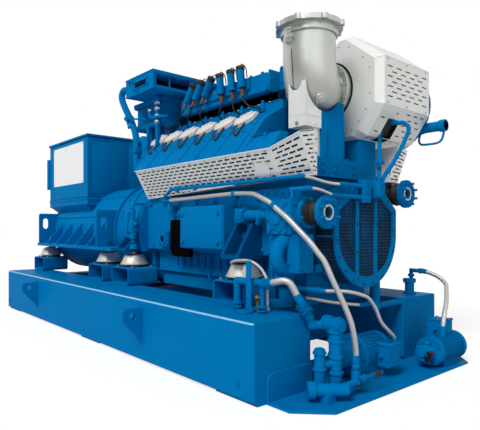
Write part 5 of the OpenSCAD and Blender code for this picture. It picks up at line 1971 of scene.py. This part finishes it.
    def belts(self) -> None:
        """Builds the ribbed belts round the pulleys."""
        form = Form()
        drives = (((0, SHAFT_Z, 150), (-178, 1010, 82)), ((0, SHAFT_Z, 150), (170, 1010, 92)))
        for offset, ((ay, az, ar), (by, bz, br)) in zip((132, 150), drives):
            angle = math.atan2(bz - az, by - ay)
            gap = math.dist((ay, az), (by, bz))
            swing = math.acos((ar - br) / gap)
            loop = []
            for k in range(25):
                a = angle + swing + (math.tau - 2 * swing) * k / 24
                loop.append((ay + (ar + 2) * math.cos(a), az + (ar + 2) * math.sin(a)))
            for k in range(17):
                a = angle - swing + 2 * swing * k / 16
                loop.append((by + (br + 2) * math.cos(a), bz + (br + 2) * math.sin(a)))
            loop.append(loop[0])
            for lane in range(3):
                x = self.start + offset - 6 + 6 * lane
                form.tube([(x, y, z) for y, z in loop], 3.4, 6)
        form.piece("drive_belts", RUBBER)

    def brackets(self) -> None:
        """Builds the guard's stays and the blocks round it."""
        form = Form()
        for s in (-1, 1):
            form.block((self.start, s * 331 - 14, 1010), (self.start + 120, s * 331 + 14, 1050), 4)
            form.block((self.start, s * 300 - 30, 640), (self.start + 60, s * 300 + 30, 690), 4)
        face = self.end + 3
        hole = [(face, y, z + 34 * max(self.middle - z, 0) / self.half) for y, z in self._rim(40)[:-1]]
        form.plate([(face, y, z) for y, z in self._rim(2)[:-1]], 2.5, hole)
        form.block((1945, -92, 1057), (1981, -8, 1197), 5)
        form.bolts((1981,), (-50,), (1080, 1128, 1176), ALONG, 9)
        form.block((1905, -60, 1128), (1950, -20, 1160), 3)
        form.bar((1700, -300, 1216), (1700, -300, 1232), 22, soft=2)
        form.bolts((1430, 1530, 1640, 1735), (-300, 300), (1216,), UP, 11)
        form.piece("front_brackets", BLUE_CAST)


@dataclass
class Water:
    """The water pumps, pipes, bellows and flanges at the front."""

    near: tuple[float, float, float] = (1977.0, -407.0, 992.0)
    far: tuple[float, float, float] = (1977.0, 407.0, 1130.0)
    bellows: tuple[float, float] = (1842.0, 1952.0)

    def build(self) -> None:
        """Dresses the pipes and adds bellows, bolts and the pump's volute."""
        dress_all(BLUE_CAST, water_pipes=8, water_flanges=2)
        self.rubber()
        self.seals()
        self.fasteners()
        self.volute()
        self.pipe_gear()

    def rubber(self) -> None:
        """Builds the ribbed rubber bellows."""
        form = Form()
        a, b = self.bellows
        for p in (self.near, self.far):
            profile = [
                (0, 0), (70, 0), (72, 4), (72, 10), (60, 16), (58, 22), (66, 32), (74, 44), (77, 55),
                (74, 66), (66, 78), (58, 88), (60, 94), (72, 100), (72, 106), (70, 110), (0, 110)]
            form.lathe((a, p[1], p[2]), ALONG, profile, 48)
        form.piece("water_bellows_ribs", RUBBER, replaces=["water_bellows"])

    def seals(self) -> None:
        """Builds the pale sealing faces of the flanges."""
        form = Form()
        for p in (self.near, self.far):
            form.ring(p, ALONG, 44, 34, 1.6, 40, 0.4)
        form.piece("water_flange_seals", WHITE_CAP)

    def fasteners(self) -> None:
        """Builds the nuts of the flanges and the bolts of the pump."""
        form = Form()
        for p in (self.near, self.far):
            form.bolt_circle((1952, p[1], p[2]), -ALONG, 76, 8, 11, 22.5)
            form.bolt_circle((1842, p[1], p[2]), ALONG, 78, 6, 10, 22.5)
            form.bolt_circle((1817, p[1], p[2]), -ALONG, 74, 6, 10, 22.5)
        form.bolts((1815,), (-515, -425), (890, 955, 1045), ALONG, 9)
        form.bolts((1860,), (-500, -420), (680, 760, 840), ALONG, 9)
        form.bolts((1650, 1780), (-520,), (700, 850), NEAR, 11)
        form.bolts((1650, 1780), (-540,), (890, 1050), NEAR, 11)
        form.piece("water_bolts", BLUE_CAST)

    def volute(self) -> None:
        """Builds the pump's round casing and inlet collar."""
        form = Form()
        x, y, z = 1715, -540, 965
        form.lathe((x, y, z), NEAR, [
            (0, -30), (84, -30), (88, -20), (88, -4), (76, 4), (62, 10), (40, 14), (38, 24), (20, 26),
            (0, 26)], 40)
        form.bolt_circle((x, y - 3, z), NEAR, 76, 8, 9, 10)
        form.pipe([(1740, -470, 850), (1740, -560, 800), (1740, -575, 730),
                                (1740, -540, 670), (1740, -470, 650)], 42, 24)
        form.lathe(
            (1620, -480, 985), -ALONG, [(30, 0), (52, 0), (54, 3), (54, 15), (52, 18), (30, 18), (30, 0)],
            32)
        form.bolt_circle((1602, -480, 985), -ALONG, 43, 4, 8, 45)
        form.piece("water_pump_volute", BLUE_CAST)

    def pipe_gear(self) -> None:
        """Builds the collars, tab and clamp of the coolant pipe."""
        form = Form()
        form.lathe((1360, -480, 985), ALONG, [(28, 0), (50, 0), (52, 3), (52, 13), (50, 16),
                                              (28, 16), (28, 0)], 32)
        form.bolt_circle((1376, -480, 985), ALONG, 42, 4, 8, 45)
        form.bar((1500, -480, 985), (1524, -480, 985), 38, 32, 3)
        form.block((1506, -518, 918), (1518, -480, 985), 3)
        form.bar((1512, -524, 934), (1512, -490, 934), 9, 12)
        form.bolts((1320, 1340), (-520,), (960,), NEAR, 8)
        form.bar((1250, -490, 1128), (1276, -491, 1128), 21, 24, 2)
        form.block((1256, -486, 1092), (1270, -452, 1122), 3)
        form.bar((1703, -573.5, 1040), (1727, -577, 1024), 21, 24, 2)
        form.piece("coolant_pipe_gear", BLUE_CAST)


@dataclass
class TrayGear:
    """The pumps, strainer, valve and tank fittings on the tray."""

    pump: tuple[float, float, float] = (1930.0, -20.0, 150.0)
    transfer: tuple[float, float] = (2115.0, 112.0)
    column: tuple[float, float] = (2050.0, -440.0)

    def build(self) -> None:
        """Dresses the solids and adds fins, boxes and fittings."""
        dress_all(BLUE_CAST, oil_pump=3, transfer_pump=3, oil_strainer=2, tank_fittings=2, oil_pipes=1.5)
        dress("valve_lever", BLUE_CAST, 2, Body.LEVER)
        self.clamps()
        self.fins()
        self.boxes()
        self.fittings()
        self.pump_face()
        self.knobs()
        self.couplings()
        self.brass()
        self.grip()

    def clamps(self) -> None:
        """Builds the clamps that hold the gallery pipe."""
        form = Form()
        for x in (620, 845, 1309):
            form.block((x - 15, -517, 1174), (x + 15, -497, 1214), 3)
            form.bolt((x, -517, 1182), NEAR, 6)
        form.piece("gallery_pipe_clamps", BLUE_CAST)

    def fins(self) -> None:
        """Builds the cooling fins of both motors."""
        form = Form()
        for (x, z), r, y0, y1 in (
            ((self.pump[0], self.pump[2]), 100, -125, 100), (self.transfer, 86, 460, 735)):
            for k in range(36):
                a = math.radians(10 * k)
                arm = Vector((math.cos(a), 0, math.sin(a)))
                mid = Vector((x, (y0 + y1) / 2, z)) + arm * (r + 3)
                size = Vector((4.5, (y1 - y0) / 2, 1.6))
                form.block(mid - size, mid + size, 0.5, Matrix.Rotation(-a, 4, "Y"))
            form.lathe((x, y1 - 6, z), ACROSS, [
                (0, 0), (r + 8, 0), (r + 9, 3), (r + 9, 26), (r + 2, 36), (r - 30, 40), (0, 40)], 40)
            form.lathe(
                (x, y0 - 12, z), ACROSS,
                [(0, 0), (r + 7, 0), (r + 8, 2), (r + 8, 14), (r + 6, 16), (0, 16)], 40)
        form.piece("motor_fins", BLUE_CAST)

    def boxes(self) -> None:
        """Builds the lids and glands of the motors' terminal boxes."""
        form = Form()
        form.block((2006, -16, 206), (2104, 116, 216), 3)
        form.block((2016, 581, 283), (2139, 709, 293), 3)
        form.bolts((2014, 2096), (-6, 106), (216,), UP, 6)
        form.bolts((2026, 2129), (591, 699), (293,), UP, 6)
        for at in ((2055, -10, 145), (2078, 585, 230)):
            form.bar(at, Vector(at) + NEAR * 14, 15, 6, 1.5)
            form.bar(Vector(at) + NEAR * 14, Vector(at) + NEAR * 26, 11, 16, 2)
        form.piece("motor_boxes", BLUE_SHEET)

    def fittings(self) -> None:
        """Builds union rings, caps, brackets and collars on the tray."""
        form = Form()
        cx, cy = self.column
        out = Vector((57, 5, -47)).normalized()
        for k in range(5):
            form.lathe(Vector((1908, -560, 488)) + out * 14 * k, out,
                       [(24, 0), (35, 1), (37, 5), (35, 8), (24, 9), (24, 0)], 24)
        for x in (1979, 2006, 2068):
            form.ring((x, cy, 385), ALONG, 44, 30, 16, 32, 3)
        for k in range(5):
            form.lathe((2028 + 7 * k, cy, 385), ALONG, [(34, 0), (38, 1), (38, 4), (34, 5), (34, 0)], 28)
        for z in (30, 120, 205, 290, 340):
            form.ring((cx, cy, z), UP, 44, 34, 16, 28, 2)
        for z in (40, 150, 235):
            form.ring((cx - 30, cy - 95, z), UP, 37, 28, 14, 28, 2)
        form.bar((cx - 30, cy - 95, 255), (cx - 30, cy - 95, 268), 24, 6, 2)
        form.bolt_circle((self.pump[0], -160, self.pump[2]), NEAR, 108, 8, 9)
        form.bolt_circle((self.pump[0], -290, self.pump[2]), NEAR, 42, 6, 8)
        for x in (1845, 2015):
            form.block((x - 12, -60, 12), (x + 12, 40, 30), 3)
        for x, z in product((1483, 1700), (432, 456)):
            form.ring((x, -650, z), UP, 32, 18, 10, 28, 1.5)
        form.bar((1640, -650, 593), (1664, -650, 593), 28, 8, 2)
        form.prism(Axis.Y, [
            (1600, 425), (1680, 425), (1660, 470), (1660, 720), (1620, 720), (1620, 470)], -705, -696, 2)
        form.block((1600, -760, 425), (1680, -700, 437), 2)
        form.bar((1745, 849.5, 540), (1745, 849.5, 560), 24, 6, 2)
        form.ring((1745, 849.5, 505), UP, 27, 13, 10, 24, 1.5)
        for k in range(12):
            a = math.tau * k / 12
            at = Vector((1790 + 42 * math.cos(a), 747.5 + 42 * math.sin(a), 520))
            form.bar(at - UP * 12, at + UP * 12, 4, 6)
        form.ring((1790, 747.5, 425), UP, 46, 31, 10, 32, 2)
        form.bolt_circle((1790, 747.5, 430), UP, 40, 6, 6)
        form.block((1560, -480, 420), (1640, -330, 470), 4)
        form.piece("tray_fittings", BLUE_CAST)

    def pump_face(self) -> None:
        """Builds the transfer pump's flange bolts and head."""
        form = Form()
        x, z = self.transfer
        form.bolt_circle((x, 430, z), NEAR, 76, 6, 9, 30)
        form.lathe((x, 362, z), NEAR, [
            (0, 0), (50, 0), (54, 3), (54, 13), (48, 18), (24, 20), (22, 30), (0, 30)], 32)
        form.bar((2115, 395, z - 62), (2115, 395, z + 62), 22, soft=2)
        for zz in (z - 62, z + 62):
            form.bar((2115, 395, zz - 8), (2115, 395, zz + 8), 28, 6, 2)
        form.bar((2143, 550, 196), (2143, 550, 214), 22, 6, 2)
        form.piece("transfer_pump_face", BLUE_CAST)

    def knobs(self) -> None:
        """Builds the dark knobs in front of the transfer pump."""
        form = Form()
        for at in ((2150, 350, 60), (2178, 330, 96)):
            form.bar(at, Vector(at) + UP * 26, 12, 14, 2)
            form.bar(Vector(at) + UP * 22, Vector(at) + UP * 40, 24, 9, 4)
        form.ring((2125, -360, 60), UP, 34, 20, 8, 24)
        form.piece("valve_knobs", DARK_PAINT_AND_SHADE)

    def couplings(self) -> None:
        """Builds the hexagon unions at the hoses' ends."""
        form = Form()
        for at, axis, r in (
            ((404, -470, 1118), ALONG, 24), ((2125, -360, 150), UP, 24), ((1700, -650, 593), ALONG, 31),
            ((1912, -558, 486), (1, 0.2, -1), 31), ((1902, -410, 552), ALONG, 20),
            ((1714, -350, 487), ALONG, 21), ((2075, 90, 196), UP, 19), ((1836, -500, 1197), ALONG, 17),
            ((1963, -244, 1156), NEAR, 17), ((1888, -500, 1125), ALONG, 17), ((1963, -316, 1089), NEAR, 17),
            ((1808, 849.5, 586), ALONG, 21)):
            out = Vector(axis).normalized()
            foot = Vector(at)
            form.bar(foot, foot + out * r * 0.9, r, 6, 1.5)
        for k in range(4):
            x = 1718 + 13 * k
            form.lathe((x, -650, 593), ALONG, [(20, 0), (29, 1), (30, 5), (29, 8), (20, 9), (20, 0)], 28)
        form.piece("hose_couplings", BLUE_CAST)

    def brass(self) -> None:
        """Builds the ball on the short column."""
        form = Form()
        form.ball((1560, -560, 488), 20, 20)
        form.bar((1560, -560, 425), (1560, -560, 476), 9, 14)
        form.piece("brass_ball", BRASS)

    def grip(self) -> None:
        """Builds the sleeve on the valve's lever."""
        form = Form()
        form.block((2169, -262, 97), (2181, -196, 123), 5)
        form.piece("lever_grip", RUBBER, Body.LEVER)


@dataclass(frozen=True)
class Hose:
    """One braided hose: its name, route, thickness and the frame's node."""

    name: str
    node: str
    diameter: float
    points: tuple[tuple[float, float, float], ...]
    stiff: str = "medium"
    lay: str = "hanging"

    def build(self) -> None:
        route = smooth_route(self.points, 6)
        hose = Form().tube(route, self.diameter / 2, 20, mapped=True)
        piece = hose.piece(self.name, BRAID, replaces=[self.node], sharp=60)
        sleeves = self.sleeves(route).piece(self.name + "_sleeves", BLUE_CAST)
        route[0] * MM
        route_length(route) * MM
        [p * MM for p in route]

    def sleeves(self, route: Sequence[Vector]) -> Form:
        """Returns the crimped sleeves over the hose's ends.

        Args:
            route: The hose's centre line.

        Returns:
            The form.
        """
        form = Form()
        r = self.diameter / 2
        for ends in (route, route[::-1]):
            line, run = [ends[0]], 0.0
            for a, b in zip(ends, ends[1:]):
                run += (b - a).length
                line.append(b)
                if run > 1.4 * self.diameter:
                    break
            radii = [r + (3.5 if 0 < k < len(line) - 1 else 1.5) for k in range(len(line))]
            form.tube(line, radii, 20)
        return form


HOSES = (
    Hose("long_hose", "long_braided_hose", 31.0, (
        (405, -470, 1118), (560, -472, 1119), (735, -475, 1121), (900, -480, 1124),
        (1056, -485, 1126), (1251, -490, 1128), (1380, -499, 1123), (1499, -530, 1110),
        (1582, -557, 1088), (1671, -570, 1056), (1755, -580, 1007), (1835, -588, 960),
        (1905, -585, 903), (1965, -555, 833), (2000, -530, 777), (2030, -505, 722),
        (2064, -475, 618), (2092, -430, 508), (2120, -397, 399), (2126, -372, 295),
        (2125, -361, 235), (2125, -360, 205), (2125, -360, 175.8))),
    Hose("feed_hose", "thick_braided_hose", 40.0, (
        (1718, -650, 593), (1745, -650, 594), (1797, -645, 606), (1846, -630, 617),
        (1871, -612, 607), (1884, -600, 585), (1900, -580, 536), (1909, -570, 514),
        (1917, -561.5, 494)), "stiff"),
    Hose("pump_hose", "middle_braided_hoses", 22.0, (
        (1922.5, -410, 552), (1930, -410, 552), (1938, -410, 552), (1972, -387, 553), (2003, -340, 552),
        (2030, -295, 546), (2048, -255, 537), (2060, -215, 524), (2070, -170, 505),
        (2076, -110, 443), (2083, -60, 356), (2086, 20, 290), (2078, 75, 255), (2075, 89, 235),
        (2075, 90, 211))),
    Hose("suction_hose", "middle_braided_hoses", 22.0, (
        (1728.5, -350, 487), (1736, -350, 487), (1744, -350, 487), (1765, -342, 487), (1810, -300, 478),
        (1832, -230, 462), (1845, -165, 450), (1871, -60, 434), (1882, 0, 426), (1884, 18, 424),
        (1884, 34.5, 424))),
    Hose("upper_block_hose", "small_braided_hoses", 19.0, (
        (1853.5, -500, 1197), (1860, -500, 1197), (1867, -500, 1197), (1882, -482, 1191), (1897, -440, 1183),
        (1915, -390, 1170), (1938, -335, 1159), (1957, -300, 1156), (1963, -280, 1156),
        (1963, -264, 1156))),
    Hose("lower_block_hose", "small_braided_hoses", 19.0, (
        (1904.5, -500, 1125), (1910, -500, 1125), (1916, -500, 1125), (1928, -467, 1123), (1938, -432, 1117),
        (1953, -385, 1101), (1962, -358, 1091), (1963, -347, 1089), (1963, -336, 1089))),
    Hose("tank_hose", "tank_braided_hose", 30.0, (
        (1825.6, 849.5, 586), (1845, 850, 586), (1872, 855, 580), (1906, 862, 569),
        (1950, 862, 552), (1990, 853, 530), (2028, 825, 505), (2052, 785, 480),
        (2085, 722, 430), (2108, 670, 395), (2130, 605, 345), (2143, 562, 290), (2143, 551, 250),
        (2143, 550, 217))))


@dataclass(frozen=True)
class Studio:
    """The camera, lamps, world and floor; the booth is the sky's one dark side."""

    eye: tuple[float, float, float] = (3.735, -2.567, 0.905)
    heading: tuple[float, float, float] = (-0.758, 0.652, 0.0)
    lens: float = 37.11
    shift: float = 0.027
    ambient: float = 0.22
    key: float = 2.15
    fill: float = 0.3
    booth: tuple[float, float, float] = (-0.19, 0.98, 0.76)
    booth_shade: float = 1.1
    shine: float = 0.9
    pale: float = 0.86
    glow: float = 1.3
    veil: float = 0.55

    def camera(self) -> None:
        """Sets the camera level in front of the near corner."""
        data = bpy.data.cameras.new("view_camera")
        data.lens = self.lens
        data.sensor_width = 36
        data.shift_y = self.shift
        data.clip_end = 200
        obj = bpy.data.objects.new("view_camera", data)
        obj.location = self.eye
        obj.rotation_euler = Vector(self.heading).to_track_quat("-Z", "Y").to_euler()
        bpy.context.scene.collection.objects.link(obj)
        bpy.context.scene.camera = obj

    def lamps(self) -> None:
        """Sets the soft key from the near side, and the fill."""
        for name, heading, strength, angle in (
            ("key_lamp", (-0.2, 0.66, -0.72), self.key, 24),
            ("fill_lamp", (-0.85, 0.25, -0.46), self.fill, 50)):
            data = bpy.data.lights.new(name, "SUN")
            data.energy = strength
            data.angle = math.radians(angle)
            obj = bpy.data.objects.new(name, data)
            obj.rotation_euler = Vector(heading).to_track_quat("-Z", "Y").to_euler()
            bpy.context.scene.collection.objects.link(obj)

    def world(self) -> None:
        """Sets an even sky that is white where it is seen and has one dark side in it."""
        world = bpy.data.worlds.new("studio_world")
        bpy.context.scene.world = world
        graph = Graph(world)
        split = graph.add("ShaderNodeSeparateXYZ", {}, {"Vector": graph.add(
            "ShaderNodeTexCoord", {}, {}, "Generated")})
        across = Flow(graph, split.out.node.outputs[1])
        booth = (split * self.booth[0] - across * self.booth[1]) > self.booth[2]
        shine = graph.ray("Is Glossy Ray") * (booth * -self.booth_shade + self.shine)
        white = graph.ray("Is Camera Ray").most(shine.most(graph.ray("Is Transmission Ray")))
        strength = white * (1 - self.ambient) + self.ambient
        sky = graph.add("ShaderNodeBackground", {}, {"Color": (1, 1, 1, 1), "Strength": strength})
        graph.add("ShaderNodeOutputWorld", {}, {"Surface": sky})

    def floor(self) -> None:
        """Lays the pale floor, which keeps the set's shadow."""
        bm = bmesh.new()
        bmesh.ops.create_grid(
            bm, x_segments=1, y_segments=1, size=40, matrix=Matrix.Translation((0, 0, -0.0005)))
        mesh = bpy.data.meshes.new("studio_floor")
        bm.to_mesh(mesh)
        bm.free()
        obj = bpy.data.objects.new("studio_floor", mesh)
        bpy.context.scene.collection.objects.link(obj)
        material = bpy.data.materials.new("pale_floor")
        graph = Graph(material)
        white = graph.ray("Is Camera Ray").most(graph.ray("Is Transmission Ray"))
        pale = graph.add("ShaderNodeBsdfDiffuse", {}, {"Color": (self.pale,) * 3 + (1,)})
        glow = graph.add("ShaderNodeEmission", {}, {"Color": (1, 1, 1, 1), "Strength": self.glow})
        mixed = graph.add("ShaderNodeMixShader", {}, {0: white * self.veil, 1: pale, 2: glow})
        graph.add("ShaderNodeOutputMaterial", {}, {"Surface": mixed})
        mesh.materials.append(material)


def main() -> None:
    """Builds the studio, then the set from the hoses to the tray."""
    logging.basicConfig(level=logging.INFO, format="%(name)s: %(message)s")
    studio = Studio()
    studio.camera()
    for hose in HOSES:
        hose.build()
    for part in (
        Skid(), Mounts(), Generator(), TerminalBox(), EngineBlock(), Heads(), Ignition(), IntakeSide(),
        ExhaustShields(), Turbocharger(), Front(), Water(), TrayGear()):
        part.build()
    studio.world()
    studio.lamps()
    studio.floor()
    bpy.context.scene.view_settings.view_transform = "Standard"


if __name__ == "__main__":
    main()
